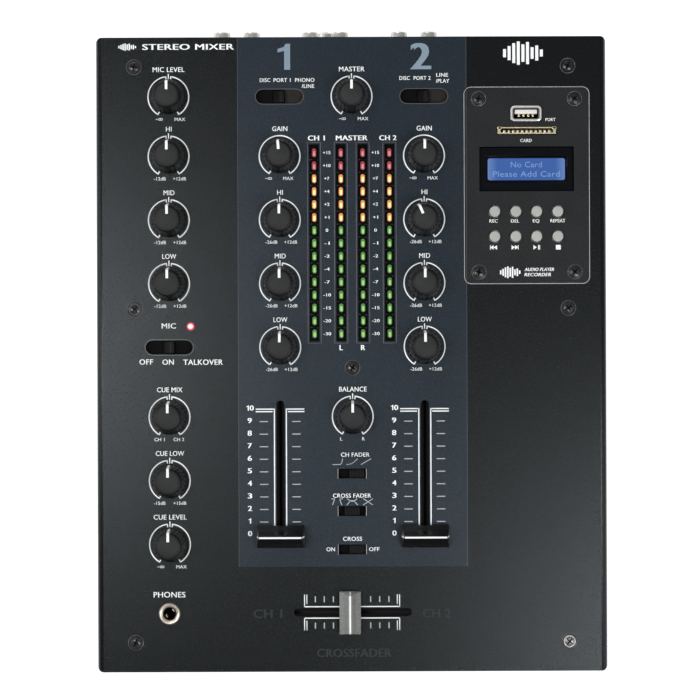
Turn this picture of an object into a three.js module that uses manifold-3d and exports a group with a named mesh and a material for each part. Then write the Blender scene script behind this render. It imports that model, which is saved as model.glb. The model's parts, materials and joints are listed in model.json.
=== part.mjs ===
// Two-channel DJ mixer with a built-in player: pressed steel case, knobs, faders, switches,
// player module, sockets and power supply. Millimetres, +Z up, front of the mixer towards -Y,
// origin under the middle of its bounding box at the height of the table.
//
// Plan positions are measured from the middle of the top panel, X to the right, Y to the rear.

import * as THREE from 'three';
import { mergeVertices } from 'three/addons/utils/BufferGeometryUtils.js';
import Module from 'manifold-3d';

const wasm = await Module();
wasm.setup();

// ---------- driving dimensions ----------

const GAP = 0.3; // air left between pieces that touch on the real mixer

const FOOT = { height: 9, radius: 11, bottomRadius: 9.5, recess: 4, recessRadius: 4 };
const FOOT_INSET = { x: 22, y: 23 };

const PANEL = { width: 254, depth: 316, top: 92, thickness: 1.5, skirt: 14, corner: 3, bend: 3 };
const PANEL_UNDER = PANEL.top - PANEL.thickness;

const TRAY = { inset: 2, thickness: 1.2, floor: FOOT.height + GAP, rim: PANEL_UNDER - 1, corner: 2 };
const TRAY_INSIDE = TRAY.floor + TRAY.thickness;
const TRAY_REAR = PANEL.depth / 2 - TRAY.inset; // outer face of the rear wall
const TRAY_REAR_INSIDE = TRAY_REAR - TRAY.thickness;

const REAR_REACH = 6.4; // how far the phono sockets stand out behind the top panel
const SHIFT_Y = -REAR_REACH / 2; // puts the origin under the middle of the bounding box

const MIDDLE_X = 0.4; // middle line of the control layout
const CHANNEL_OFFSET = 35.95;
const CHANNELS = { ch1: MIDDLE_X - CHANNEL_OFFSET, ch2: MIDDLE_X + CHANNEL_OFFSET };
const LEFT_X = -90.8; // microphone and cue column
const TOP_ROW_Y = 128.4;
const ROW_Y = 98.8; // first of the four equaliser rows
const ROW_PITCH = 31.7;
const CUE_ROW_Y = -31;

const KNOB = { radius: 8.7, topRadius: 6.2, height: 14.8, lift: 0.7, skirt: 2.4, bevel: 0.7, sides: 14 };
const SHAFT = { radius: 3, hole: 3.7, bottom: 88.9 };
const POINTER = { width: 1.4, length: 4.9, rise: 0.25 };
const TURNED_KNOB = { name: 'knob_ch2_hi', degrees: 24 };

const FADER = { travel: 60, startY: -90.5 };
const FADER_SLOT = { width: 4, length: FADER.travel + 13, middleY: FADER.startY + FADER.travel / 2 + 1 };
const FADER_BODY = { width: 13, height: 9.4, extra: 16, wall: 1.6, channel: 6.8, mouth: 2.6 };
const CAP = { length: 23.6, width: 11, height: 11.8, topLength: 21.4, topWidth: 1.8, lift: 1.2 };
const LEVER = { thickness: 1.2, width: 4, bottom: 83.5 };
const CROSS = { x: 0.2, y: -128.5, startX: -1.2, slotLength: 58.8, capLength: 21.2, capWidth: 10.6 };

const SELECTOR = { length: 23.8, width: 7.3, travel: 6, lever: 5, leverDepth: 5.6, leverTop: 91.4 };
const SELECTORS = {
  switch_ch1_input: [CHANNELS.ch1, TOP_ROW_Y],
  switch_ch2_input: [CHANNELS.ch2, TOP_ROW_Y],
  switch_mic: [LEFT_X, 3.7],
};
const SLIDE = { length: 13.6, width: 4.9, travel: 2.4, actuator: 7.6, depth: 4.3, top: 91.3, x: 0 };
const SLIDES = {
  switch_channel_curve: { y: -59.4, offset: SLIDE.travel },
  switch_cross_curve: { y: -78.1, offset: 0 },
  switch_cross_enable: { y: -97.2, offset: SLIDE.travel },
};
const SHUTTER = { thickness: 0.6, top: 88.1, margin: 0.9 };

const METER = { width: 4.9, firstY: 100.4, pitch: 6.44, leds: 15, ledWidth: 2.2, ledDepth: 4.5 };
const METER_OFFSETS = [-18.8, -5.5, 5.4, 18.7];
const METER_WINDOW = { low: 6.4, high: 104.6 };
const METER_BLOCK = { width: 46, margin: 3, bottom: 82.4, top: 90.1, ledTop: 91.4 };

const LAMP = { x: -80.2, y: 14.1, radius: 1.5, hole: 2, flange: 1.9, flangeTop: 89, top: 92.3 };
const PHONES = {
  x: -91.1, y: -128.9, bore: 3.3, radius: 5.3, hole: 6.1, body: 8, depth: 24, rise: 1.2, sides: 12,
};

const PLAYER = { x: 87.5, y: 83.8, width: 62, depth: 97.6, corner: 3.3, gap: 0.5, recess: 2, thickness: 1.6 };
const PLAYER_FLOOR = PANEL.top - PLAYER.recess;
const PLAYER_UNDER = PLAYER_FLOOR + 0.1;
const PLAYER_TOP = PLAYER_UNDER + PLAYER.thickness;
const DATA = { x: 87.2, y: 119.5, lip: [15.4, 7.7], shell: [13.3, 5.9], mouth: [12.3, 4.9] };
const DATA_DEPTH = { socket: 13, rise: 1, mouth: 11 };
const TONGUE = { width: 11.2, thickness: 1.9, offset: 0.9, drop: 2 };
const CARD = { x: 87.6, y: 111.1, outer: [29, 3.4], slot: [25.4, 2.3], depth: 22, slotDepth: 20, rise: 0.5 };
const SCREEN = { x: 87.5, y: 92, window: [47.1, 22.3], module: [54, 30], glass: [39.6, 12.4], bottom: 81.8 };
const SCREEN_TOP = { module: 88.1, bezel: 89, pocket: 1.1 };
const BUTTON = { radius: 2.7, hole: 3.3, flange: 3.8, stemRadius: 1.8 };
const BUTTON_LEVEL = { top: 92.8, flangeTop: 89.6, flangeLow: 88.5, stem: 86.3 };
const BUTTON_X = [71.5, 82, 92.4, 102.9];
const BUTTON_ROWS = { upper: 70.7, lower: 58.3 };
const BUTTON_NAMES = {
  upper: ['button_record', 'button_delete', 'button_equaliser', 'button_repeat'],
  lower: ['button_previous', 'button_next', 'button_play', 'button_stop'],
};
const PLAYER_BOARD = { width: 56, low: 40, high: 106, top: 81.2, thickness: 1.6 };
const TACT = { size: 6, height: 3.6, nub: 1.6, nubHeight: 0.7 };

const BOARD = { left: -112, right: 54, front: -111, rear: 146, top: 82, thickness: 1.6 };
const POT = { size: 11, height: 6.4 };
const SWITCH_HOUSING = { selector: [30, 10], slide: [17, 7], top: 87.2 };

const PHONO = { rows: [58, 43], pitch: 15.1, barrel: 4.15, hole: 4.9, pin: 1.7, pinDepth: 9, sides: 10 };
const PHONO_BLOCKS = [-58.1, -13, 32.3];
const PHONO_BLOCK = { width: 29.5, low: 35, high: 66, front: TRAY_REAR_INSIDE - 3, rear: 141.8 };
const REAR_BOARD = { left: -78, right: 74, low: 31, high: 72, thickness: 1.6 };
const COMPUTER_PORT = { x: 61, z: 50.5, width: 12, height: 11, wall: 1.2, depth: 15, tongue: 5.6 };
const GROUND = { x: -12.8, z: 66, stud: 1.9, nut: 4, nutDepth: 5, reach: 6.9, tip: 0.6, hole: 2.4 };
const MIC_INPUT = { x: -98, z: 48, flange: [26, 31], thickness: 1.6, radius: 11.5, depth: 26, bore: 3.3 };

const INLET = { x: 98, z: 45.5, body: [27, 47], flange: [31, 51], depth: 26, thickness: 1.6, hole: 0.5 };
const INLET_SOCKET = { dz: -10.5, width: 24.6, height: 17, depth: 16, chamfer: 4 };
const PIN = { width: 2, height: 4, length: 13, spread: 7, sideDz: -2, earthDz: 2 };
const ROCKER = { dz: 13, width: 20, height: 12.6, cavity: [21, 15], depth: 9, pivotY: 153.6, tilt: 10 };

const TRANSFORMER = { x: 84, y: 98, core: [54, 34, 44], coil: [38, 52, 26], plate: [62, 40, 2] };
const POWER_BOARD = { x: -40, y: 92, width: 90, depth: 78, top: 19.6, thickness: 1.6 };

const VENT = { length: 34, height: 3, pitch: 8, rows: 3, z: 30, y: [-70, 0, 70] };

// ---------- finishes ----------

const finish = (color, roughness, metalness = 0) =>
  new THREE.MeshStandardMaterial({ color, roughness, metalness });

const BLACK_COAT = finish(0x26292b, 0.6);
const PLATE_COAT = finish(0x1d2021, 0.5);
const RUBBER = finish(0x141414, 0.9);
const KNOB_BLACK = finish(0x1c1d1e, 0.55);
const CAP_GREY = finish(0x8f9396, 0.4, 0.3);
const BUTTON_GREY = finish(0xc9cdc8, 0.5);
const NICKEL = finish(0xcfc9bd, 0.25, 1);
const TIN = finish(0xa8abad, 0.4, 0.9);
const BLACK_PLASTIC = finish(0x17181a, 0.5);
const BOARD_GREEN = finish(0x1f4a33, 0.6);
const GLASS_BLUE = finish(0x3f6fc8, 0.15);
const CORE_STEEL = finish(0x6d6f72, 0.5, 0.8);
const METER_BLACK = finish(0x131513, 0.45);

// ---------- solids ----------

function toSolid(geometry) {
  geometry.deleteAttribute('normal');
  geometry.deleteAttribute('uv');
  const merged = mergeVertices(geometry, 1e-3);
  return new wasm.Manifold(new wasm.Mesh({
    numProp: 3,
    vertProperties: new Float32Array(merged.attributes.position.array),
    triVerts: new Uint32Array(merged.index.array),
  }));
}

function toGeometry(solid) {
  const mesh = solid.getMesh();
  const geometry = new THREE.BufferGeometry();
  geometry.setAttribute('position', new THREE.BufferAttribute(mesh.vertProperties, 3));
  geometry.setIndex(new THREE.BufferAttribute(mesh.triVerts, 1));
  geometry.computeVertexNormals();
  return geometry;
}

// Box from its middle in plan, its size in plan and its lowest and highest level.
function block(x, y, width, depth, low, high) {
  return toSolid(new THREE.BoxGeometry(width, depth, high - low).translate(x, y, (low + high) / 2));
}

// Upright cylinder or cone.
function post(x, y, bottomRadius, topRadius, low, high, sides = 16) {
  const geometry = new THREE.CylinderGeometry(topRadius, bottomRadius, high - low, sides);
  return toSolid(geometry.rotateX(Math.PI / 2).translate(x, y, (low + high) / 2));
}

// Cylinder lying along Y, from the front to the rear.
function rod(x, z, radius, front, rear, sides = 16) {
  const geometry = new THREE.CylinderGeometry(radius, radius, rear - front, sides);
  return toSolid(geometry.translate(x, (front + rear) / 2, z));
}

// Solid of revolution about Z from a profile of [radius, level] that starts and ends on the axis.
function turned(profile, sides) {
  const points = profile.map(([radius, level]) => new THREE.Vector2(radius, level));
  return toSolid(new THREE.LatheGeometry(points, sides).rotateX(Math.PI / 2));
}

function roundedOutline(x, y, width, depth, radius) {
  const [left, right, front, rear] = [x - width / 2, x + width / 2, y - depth / 2, y + depth / 2];
  const outline = new THREE.Shape();
  outline.moveTo(left + radius, front);
  outline.lineTo(right - radius, front);
  outline.absarc(right - radius, front + radius, radius, -Math.PI / 2, 0);
  outline.lineTo(right, rear - radius);
  outline.absarc(right - radius, rear - radius, radius, 0, Math.PI / 2);
  outline.lineTo(left + radius, rear);
  outline.absarc(left + radius, rear - radius, radius, Math.PI / 2, Math.PI);
  outline.lineTo(left, front + radius);
  outline.absarc(left + radius, front + radius, radius, Math.PI, Math.PI * 1.5);
  return outline;
}

function upright(outline, low, high, curveSegments = 4) {
  const depth = high - low;
  const geometry = new THREE.ExtrudeGeometry(outline, { depth, bevelEnabled: false, curveSegments });
  return toSolid(geometry.translate(0, 0, low));
}

function roundedBlock(x, y, width, depth, radius, low, high) {
  return upright(roundedOutline(x, y, width, depth, radius), low, high);
}

// Prism along X from an outline in Y and Z.
function lengthways(outline, left, right) {
  const geometry = new THREE.ExtrudeGeometry(outline, { depth: right - left, bevelEnabled: false });
  geometry.applyMatrix4(new THREE.Matrix4().makeBasis(
    new THREE.Vector3(0, 1, 0), new THREE.Vector3(0, 0, 1), new THREE.Vector3(1, 0, 0)));
  return toSolid(geometry.translate(left, 0, 0));
}

const polygon = (points) => new THREE.Shape(points.map(([a, b]) => new THREE.Vector2(a, b)));
const union = (first, ...others) => others.reduce((whole, next) => whole.add(next), first);
const cut = (first, ...others) => others.reduce((whole, next) => whole.subtract(next), first);

// ---------- knob places ----------

const knobPlaces = [
  { name: 'knob_mic_level', x: LEFT_X, y: TOP_ROW_Y },
  { name: 'knob_master', x: MIDDLE_X, y: TOP_ROW_Y },
  { name: 'knob_balance', x: MIDDLE_X, y: CUE_ROW_Y },
];
['hi', 'mid', 'low'].forEach((band, row) => {
  knobPlaces.push({ name: `knob_mic_${band}`, x: LEFT_X, y: ROW_Y - row * ROW_PITCH });
});
['mix', 'low', 'level'].forEach((band, row) => {
  knobPlaces.push({ name: `knob_cue_${band}`, x: LEFT_X, y: CUE_ROW_Y - row * ROW_PITCH });
});
for (const [channel, x] of Object.entries(CHANNELS)) {
  ['gain', 'hi', 'mid', 'low'].forEach((band, row) => {
    knobPlaces.push({ name: `knob_${channel}_${band}`, x, y: ROW_Y - row * ROW_PITCH });
  });
}

const buttonPlaces = Object.entries(BUTTON_NAMES).flatMap(([row, names]) =>
  names.map((name, column) => ({ name, x: BUTTON_X[column], y: BUTTON_ROWS[row] })));

// ---------- case ----------

// Pressed lid: flat top, bent sides, skirt all round, a pressed recess for the player plate.
function topPanel() {
  const { width, depth, top, thickness, skirt, corner, bend } = PANEL;
  const bentPrism = (inset, roof, radius) => {
    const half = width / 2 - inset;
    const outline = new THREE.Shape();
    outline.moveTo(-half, top - skirt - inset);
    outline.lineTo(half, top - skirt - inset);
    outline.absarc(half - radius, roof - radius, radius, 0, Math.PI / 2);
    outline.absarc(-half + radius, roof - radius, radius, Math.PI / 2, Math.PI);
    const geometry = new THREE.ExtrudeGeometry(outline, {
      depth: depth - 2 * inset, bevelEnabled: false, curveSegments: 4,
    });
    return toSolid(geometry.rotateX(Math.PI / 2).translate(0, depth / 2 - inset, 0));
  };
  const plan = (inset) => roundedBlock(0, 0, width - 2 * inset, depth - 2 * inset, corner - inset,
    top - skirt - 2 * inset, top + 1);
  const outside = bentPrism(0, top, bend).intersect(plan(0));
  const inside = bentPrism(thickness, PANEL_UNDER, bend - thickness).intersect(plan(thickness));
  const reach = 2 * (PLAYER.gap + thickness);
  const lid = union(cut(outside, inside), roundedBlock(PLAYER.x, PLAYER.y, PLAYER.width + reach,
    PLAYER.depth + reach, PLAYER.corner + reach / 2, PLAYER_FLOOR - thickness, PANEL_UNDER + 0.1));
  return cut(lid, ...panelHoles());
}

function panelHoles() {
  const through = [PLAYER_FLOOR - PANEL.thickness - 1, PANEL.top + 1];
  const window = (x, y, width, depth) => block(x, y, width, depth, ...through);
  const slot = (x, y, width, depth) =>
    roundedBlock(x, y, width, depth, Math.min(width, depth) / 2 - 0.01, ...through);
  const bore = (x, y, radius, sides) => post(x, y, radius, radius, ...through, sides);
  const reach = 2 * PLAYER.gap;
  return [
    ...knobPlaces.map(({ x, y }) => bore(x, y, SHAFT.hole, 10)),
    ...Object.values(CHANNELS).map((x) => slot(x, FADER_SLOT.middleY, FADER_SLOT.width, FADER_SLOT.length)),
    slot(CROSS.x, CROSS.y, CROSS.slotLength, FADER_SLOT.width),
    ...Object.values(SELECTORS).map(([x, y]) => slot(x, y, SELECTOR.length, SELECTOR.width)),
    ...Object.values(SLIDES).map(({ y }) => window(SLIDE.x, y, SLIDE.length, SLIDE.width)),
    ...METER_OFFSETS.map((offset) => window(MIDDLE_X + offset,
      (METER_WINDOW.low + METER_WINDOW.high) / 2, METER.width, METER_WINDOW.high - METER_WINDOW.low)),
    bore(LAMP.x, LAMP.y, LAMP.hole, 12),
    bore(PHONES.x, PHONES.y, PHONES.hole, PHONES.sides),
    roundedBlock(PLAYER.x, PLAYER.y, PLAYER.width + reach, PLAYER.depth + reach,
      PLAYER.corner + PLAYER.gap, PLAYER_FLOOR, PANEL.top + 1),
    window(PLAYER.x, (DATA.y + CARD.y) / 2 + 0.6, 34, 20),
    window(SCREEN.x, SCREEN.y, SCREEN.window[0] + 1, SCREEN.window[1] + 1),
    window(PLAYER.x - 0.3, (BUTTON_ROWS.upper + BUTTON_ROWS.lower) / 2, 41, 22),
  ];
}

function baseTray() {
  const { inset, thickness, floor, rim, corner } = TRAY;
  const width = PANEL.width - 2 * inset;
  const depth = PANEL.depth - 2 * inset;
  const outside = roundedBlock(0, 0, width, depth, corner, floor, rim);
  const inside = roundedBlock(0, 0, width - 2 * thickness, depth - 2 * thickness,
    corner - thickness, floor + thickness, rim + 1);
  const rearCut = (x, z, cutWidth, height) =>
    block(x, TRAY_REAR, cutWidth, 6, z - height / 2, z + height / 2);
  const rearBore = (x, z, radius, sides) => rod(x, z, radius, TRAY_REAR - 3, TRAY_REAR + 3, sides);
  const phono = PHONO_BLOCKS.flatMap((middle) => PHONO.rows.flatMap((z) =>
    [-1, 1].map((side) => rearBore(middle + side * PHONO.pitch / 2, z, PHONO.hole, 12))));
  const vents = [];
  for (const y of VENT.y) {
    for (let row = 0; row < VENT.rows; row += 1) {
      const z = VENT.z + row * VENT.pitch;
      vents.push(block(0, y, width + 2, VENT.length, z, z + VENT.height));
    }
  }
  return cut(outside, inside, ...phono, ...vents,
    rearBore(GROUND.x, GROUND.z, GROUND.hole, 12),
    rearBore(MIC_INPUT.x, MIC_INPUT.z, MIC_INPUT.radius + GAP, 20),
    rearCut(COMPUTER_PORT.x, COMPUTER_PORT.z, COMPUTER_PORT.width + 1, COMPUTER_PORT.height + 1),
    rearCut(INLET.x, INLET.z, INLET.body[0] + INLET.hole, INLET.body[1] + INLET.hole));
}

// Rubber foot, a flat ring on the table round a screw recess.
function foot() {
  const { height, radius, bottomRadius, recess, recessRadius } = FOOT;
  return turned([[0, recess], [recessRadius, recess], [recessRadius, 0], [bottomRadius, 0],
    [radius, 2], [radius, height], [0, height]], 16);
}

// ---------- knobs, faders and switches ----------

function knob() {
  const { radius, topRadius, height, lift, skirt, bevel, sides } = KNOB;
  const low = PANEL.top + lift;
  const high = low + height;
  const body = turned([[0, SHAFT.bottom], [SHAFT.radius, SHAFT.bottom], [SHAFT.radius, low],
    [radius, low], [radius - 0.3, low + skirt], [topRadius, high - bevel],
    [topRadius - bevel, high], [0, high]], sides);
  const pointerY = topRadius - bevel - POINTER.length / 2;
  return union(body, block(0, pointerY, POINTER.width, POINTER.length, high - 1, high + POINTER.rise));
}

// Slide potentiometer along Y, its middle at the origin in plan: a channel open at the top.
function faderBody(slotLength) {
  const { width, height, extra, wall, channel, mouth } = FADER_BODY;
  const high = PANEL_UNDER - GAP;
  const low = high - height;
  return cut(block(0, 0, width, slotLength + extra, low, high),
    block(0, 0, channel, slotLength + 4, low + wall, high - wall),
    block(0, 0, mouth, slotLength, high - wall - 1, high + 1));
}

// Fader cap with its lever, sliding along Y: a ridge over two sloping flanks, with tapered ends.
function faderCap(length, width) {
  const low = PANEL.top + CAP.lift;
  const high = low + CAP.height;
  const shoulder = low + CAP.height * 0.32;
  const taper = (CAP.length - CAP.topLength) / 2;
  const flanks = lengthways(polygon([[-width / 2, low], [width / 2, low],
    [width / 2 - 0.3, shoulder], [width * 0.2, high - 2.4], [CAP.topWidth / 2, high],
    [-CAP.topWidth / 2, high], [-width * 0.2, high - 2.4], [-width / 2 + 0.3, shoulder]]),
  -length / 2, length / 2);
  const ends = toSolid(new THREE.ExtrudeGeometry(polygon([[-length / 2, low - 1], [length / 2, low - 1],
    [length / 2 - taper, high + 1], [-length / 2 + taper, high + 1]]),
  { depth: width + 2, bevelEnabled: false }).rotateX(Math.PI / 2).translate(0, width / 2 + 1, 0));
  const lever = block(0, 0, LEVER.thickness, LEVER.width, LEVER.bottom, low + 1);
  return union(flanks.intersect(ends), lever);
}

// Switch lever on a shutter plate that covers its opening at both ends of the travel.
function slider(opening, lever, top, travel) {
  const { thickness, margin } = SHUTTER;
  const plateWidth = opening[0] + 2 * (travel + margin);
  return union(
    block(0, 0, plateWidth, opening[1] + 2 * margin, SHUTTER.top - thickness, SHUTTER.top),
    block(0, 0, lever[0], lever[1], SHUTTER.top - thickness, top));
}

function ribbedSlider(offset) {
  const body = slider([SLIDE.length, SLIDE.width], [SLIDE.actuator, SLIDE.depth], SLIDE.top, SLIDE.travel);
  const grooves = [-2, -1, 0, 1, 2].map((step) =>
    block(step * 1.4, 0, 0.5, SLIDE.depth + 1, SLIDE.top - 0.5, SLIDE.top + 1));
  return cut(body, ...grooves).translate([offset, 0, 0]);
}

// Control board with the potentiometers and switch housings soldered on it.
function controlBoard() {
  const { left, right, front, rear, top, thickness } = BOARD;
  const board = block((left + right) / 2, (front + rear) / 2, right - left, rear - front,
    top - thickness, top);
  const pots = knobPlaces.map(({ x, y }) => block(x, y, POT.size, POT.size, top - 0.5, top + POT.height));
  const housings = [
    ...Object.values(SELECTORS).map(([x, y]) =>
      block(x, y, ...SWITCH_HOUSING.selector, top - 0.5, SWITCH_HOUSING.top)),
    ...Object.values(SLIDES).map(({ y }) =>
      block(SLIDE.x, y, ...SWITCH_HOUSING.slide, top - 0.5, SWITCH_HOUSING.top)),
  ];
  const clearances = Object.values(CHANNELS).map((x) => block(x, FADER_SLOT.middleY,
    FADER_BODY.width + 2, FADER_SLOT.length + FADER_BODY.extra + 2, top - 3, top + 1));
  return cut(union(board, ...pots, ...housings, micLamp().translate([LAMP.x, LAMP.y, 0])), ...clearances);
}

// Carrier of the four light columns, one bar for each level.
function meterBlock() {
  const { width, margin, bottom, top, ledTop } = METER_BLOCK;
  const middleY = (METER_WINDOW.low + METER_WINDOW.high) / 2;
  const depth = METER_WINDOW.high - METER_WINDOW.low + 2 * margin;
  const bars = [];
  for (const offset of METER_OFFSETS) {
    for (let led = 0; led < METER.leds; led += 1) {
      bars.push(block(MIDDLE_X + offset, METER.firstY - led * METER.pitch,
        METER.ledWidth, METER.ledDepth, top - 0.5, ledTop));
    }
  }
  return union(block(MIDDLE_X, middleY, width, depth, bottom, top), ...bars);
}

function micLamp() {
  const { radius, flange, flangeTop, top } = LAMP;
  return turned([[0, BOARD.top - 0.5], [flange, BOARD.top - 0.5], [flange, flangeTop], [radius, flangeTop],
    [radius, top - 1], [radius * 0.75, top - 0.3], [0, top]], 12);
}

// Quarter-inch headphone socket: a turned bush through the panel, a square body under it.
function phonesBush() {
  const { bore, radius, rise, sides } = PHONES;
  const high = PANEL.top + rise;
  const low = PANEL_UNDER - GAP / 2;
  const bush = turned([[0, low], [radius, low], [radius, high - 0.6], [radius - 0.6, high], [0, high]], sides);
  return cut(bush, post(0, 0, bore, bore, low - 1, high + 1, sides));
}

function phonesJack() {
  const { bore, body, depth, sides } = PHONES;
  const high = PANEL_UNDER - GAP;
  return cut(block(0, 0, 2 * body, 2 * body, high - depth, high),
    post(0, 0, bore, bore, high - depth + 1.5, high + 1, sides));
}

// ---------- player ----------

function playerPlate() {
  const { x, y, width, depth, corner } = PLAYER;
  const through = [PLAYER_UNDER - 1, PLAYER_TOP + 1];
  return cut(roundedBlock(x, y, width, depth, corner, PLAYER_UNDER, PLAYER_TOP),
    block(DATA.x, DATA.y, DATA.shell[0] + 1, DATA.shell[1] + 1, ...through),
    block(CARD.x, CARD.y, CARD.outer[0] + 0.8, CARD.outer[1] + 0.8, ...through),
    block(SCREEN.x, SCREEN.y, ...SCREEN.window, ...through),
    ...buttonPlaces.map((place) => post(place.x, place.y, BUTTON.hole, BUTTON.hole, ...through, 14)));
}

// Stick socket: metal shell with a flared lip, open at the top round a contact tongue.
function dataSocket() {
  const { x, y, lip, shell, mouth } = DATA;
  const high = PLAYER_TOP + DATA_DEPTH.rise;
  const low = high - DATA_DEPTH.socket;
  const outside = union(block(x, y, ...shell, low, high),
    roundedBlock(x, y, ...lip, 1.6, PLAYER_TOP + 0.15, high));
  return union(cut(outside, block(x, y, ...mouth, high - DATA_DEPTH.mouth, high + 1)),
    block(x, y + TONGUE.offset, TONGUE.width, TONGUE.thickness, low + 0.5, high - TONGUE.drop));
}

function cardSocket() {
  const { x, y, outer, slot, depth, slotDepth, rise } = CARD;
  const high = PLAYER_TOP + rise;
  return cut(block(x, y, ...outer, high - depth, high),
    block(x, y, ...slot, high - slotDepth, high + 1));
}

function screenModule() {
  const { x, y, window, module, glass, bottom } = SCREEN;
  return cut(
    union(block(x, y, ...module, bottom, SCREEN_TOP.module),
      block(x, y, window[0] - 0.6, window[1] - 0.6, bottom, SCREEN_TOP.bezel)),
    block(x, y, glass[0] + 0.6, glass[1] + 0.6, SCREEN_TOP.bezel - SCREEN_TOP.pocket, SCREEN_TOP.bezel + 1));
}

function screenGlass() {
  const { x, y, glass } = SCREEN;
  return roundedBlock(x, y, ...glass, 0.9,
    SCREEN_TOP.bezel - SCREEN_TOP.pocket + 0.2, SCREEN_TOP.bezel - 0.2);
}

// Player board with a tact switch under each button.
function playerBoard() {
  const { width, low, high, top, thickness } = PLAYER_BOARD;
  const parts = buttonPlaces.flatMap(({ x, y }) => [
    block(x, y, TACT.size, TACT.size, top - 0.5, top + TACT.height),
    post(x, y, TACT.nub, TACT.nub, top + TACT.height - 0.5, top + TACT.height + TACT.nubHeight, 8),
  ]);
  return union(block(PLAYER.x, (low + high) / 2, width, high - low, top - thickness, top), ...parts);
}

function button() {
  const { radius, flange, stemRadius } = BUTTON;
  const { top, flangeTop, flangeLow, stem } = BUTTON_LEVEL;
  return turned([[0, stem], [stemRadius, stem], [stemRadius, flangeLow], [flange, flangeLow], [flange, flangeTop],
    [radius, flangeTop], [radius, top], [0, top]], 12);
}

// ---------- rear sockets ----------

// Rear board with three four-way phono socket blocks and the computer port.
function rearBoard() {
  const { left, right, low, high, thickness } = REAR_BOARD;
  const { front, rear } = PHONO_BLOCK;
  const board = block((left + right) / 2, rear - thickness / 2, right - left, thickness, low, high);
  const pieces = [board];
  const bores = [];
  for (const middle of PHONO_BLOCKS) {
    pieces.push(block(middle, (front + rear) / 2 - 0.2, PHONO_BLOCK.width, front - rear + 0.4,
      PHONO_BLOCK.low, PHONO_BLOCK.high));
    for (const z of PHONO.rows) {
      for (const side of [-1, 1]) {
        const x = middle + side * PHONO.pitch / 2;
        const tip = PANEL.depth / 2 + REAR_REACH;
        pieces.push(rod(x, z, PHONO.barrel, front - 1, tip, PHONO.sides));
        bores.push(rod(x, z, PHONO.pin, tip - PHONO.pinDepth, tip + 1, 8));
      }
    }
  }
  const port = COMPUTER_PORT;
  const portFront = TRAY_REAR + 0.9;
  pieces.push(block(port.x, (portFront + rear - 0.5) / 2, port.width, portFront - rear + 0.5,
    port.z - port.height / 2, port.z + port.height / 2));
  const cavity = block(port.x, portFront - port.depth / 2 + 4, port.width - 2 * port.wall, port.depth,
    port.z - port.height / 2 + port.wall, port.z + port.height / 2 - port.wall);
  const tongue = block(port.x, portFront - 6, port.tongue, 10, port.z - 1.6, port.z + 1.6);
  return union(cut(union(...pieces), ...bores, cavity), tongue);
}

function groundPost() {
  const { x, z, stud, nut, nutDepth, reach, tip } = GROUND;
  return union(rod(x, z, stud, TRAY_REAR_INSIDE - 2, TRAY_REAR + reach + tip, 10),
    rod(x, z, nut, TRAY_REAR + reach - nutDepth, TRAY_REAR + reach, 16));
}

function micInput() {
  const { x, z, flange, thickness, radius, depth, bore } = MIC_INPUT;
  const face = TRAY_REAR + GAP / 2;
  return cut(
    union(block(x, face + thickness / 2, flange[0], thickness, z - flange[1] / 2, z + flange[1] / 2),
      rod(x, z, radius, face - depth, face + 0.5, 20)),
    rod(x, z, bore, face - depth + 2, face + thickness + 1, 16));
}

// Mains inlet and switch housing: chamfered appliance socket below, rocker well above.
function mainsInlet() {
  const { x, z, body, flange, depth, thickness } = INLET;
  const face = TRAY_REAR + GAP / 2;
  const outer = face + thickness;
  const socketZ = z + INLET_SOCKET.dz;
  const { width, height, chamfer } = INLET_SOCKET;
  const mouth = polygon([[x - width / 2, socketZ - height / 2], [x + width / 2, socketZ - height / 2],
    [x + width / 2, socketZ + height / 2 - chamfer], [x + width / 2 - chamfer, socketZ + height / 2],
    [x - width / 2 + chamfer, socketZ + height / 2], [x - width / 2, socketZ + height / 2 - chamfer]]);
  const socketDepth = INLET_SOCKET.depth + 1;
  const socket = toSolid(new THREE.ExtrudeGeometry(mouth, { depth: socketDepth, bevelEnabled: false })
    .rotateX(Math.PI / 2).translate(0, outer + 1, 0));
  const well = block(x, outer - ROCKER.depth / 2 + 0.5, ROCKER.cavity[0], ROCKER.depth + 1,
    z + ROCKER.dz - ROCKER.cavity[1] / 2, z + ROCKER.dz + ROCKER.cavity[1] / 2);
  const pinY = outer - INLET_SOCKET.depth + PIN.length / 2 - 0.5;
  const pin = (dx, dz) => block(x + dx, pinY, PIN.width, PIN.length,
    socketZ + dz - PIN.height / 2, socketZ + dz + PIN.height / 2);
  const housing = union(
    block(x, face - depth / 2, body[0], depth + 0.5, z - body[1] / 2, z + body[1] / 2),
    block(x, face + thickness / 2, flange[0], thickness, z - flange[1] / 2, z + flange[1] / 2));
  return union(cut(housing, socket, well), pin(-PIN.spread, PIN.sideDz), pin(PIN.spread, PIN.sideDz),
    pin(0, PIN.earthDz));
}

// Rocker with a shallow V face and a round back, built about its pivot.
function rocker() {
  const half = ROCKER.height / 2;
  const face = TRAY_REAR + 1.2 - ROCKER.pivotY;
  return lengthways(polygon([[face - 0.6, 0], [face + 0.4, half], [-1.4, half - 0.8], [-3.2, 0],
    [-1.4, -half + 0.8], [face + 0.4, -half]]), -ROCKER.width / 2, ROCKER.width / 2);
}

// ---------- power supply ----------

function transformer() {
  const { x, y, core, coil, plate } = TRANSFORMER;
  const floor = TRAY_INSIDE + GAP;
  const middle = floor + plate[2] + core[2] / 2;
  return union(block(x, y, plate[0], plate[1], floor, floor + plate[2]),
    block(x, y, core[0], core[1], floor + plate[2] - 0.5, floor + plate[2] + core[2]),
    block(x, y, coil[0], coil[1], middle - coil[2] / 2, middle + coil[2] / 2));
}

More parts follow.
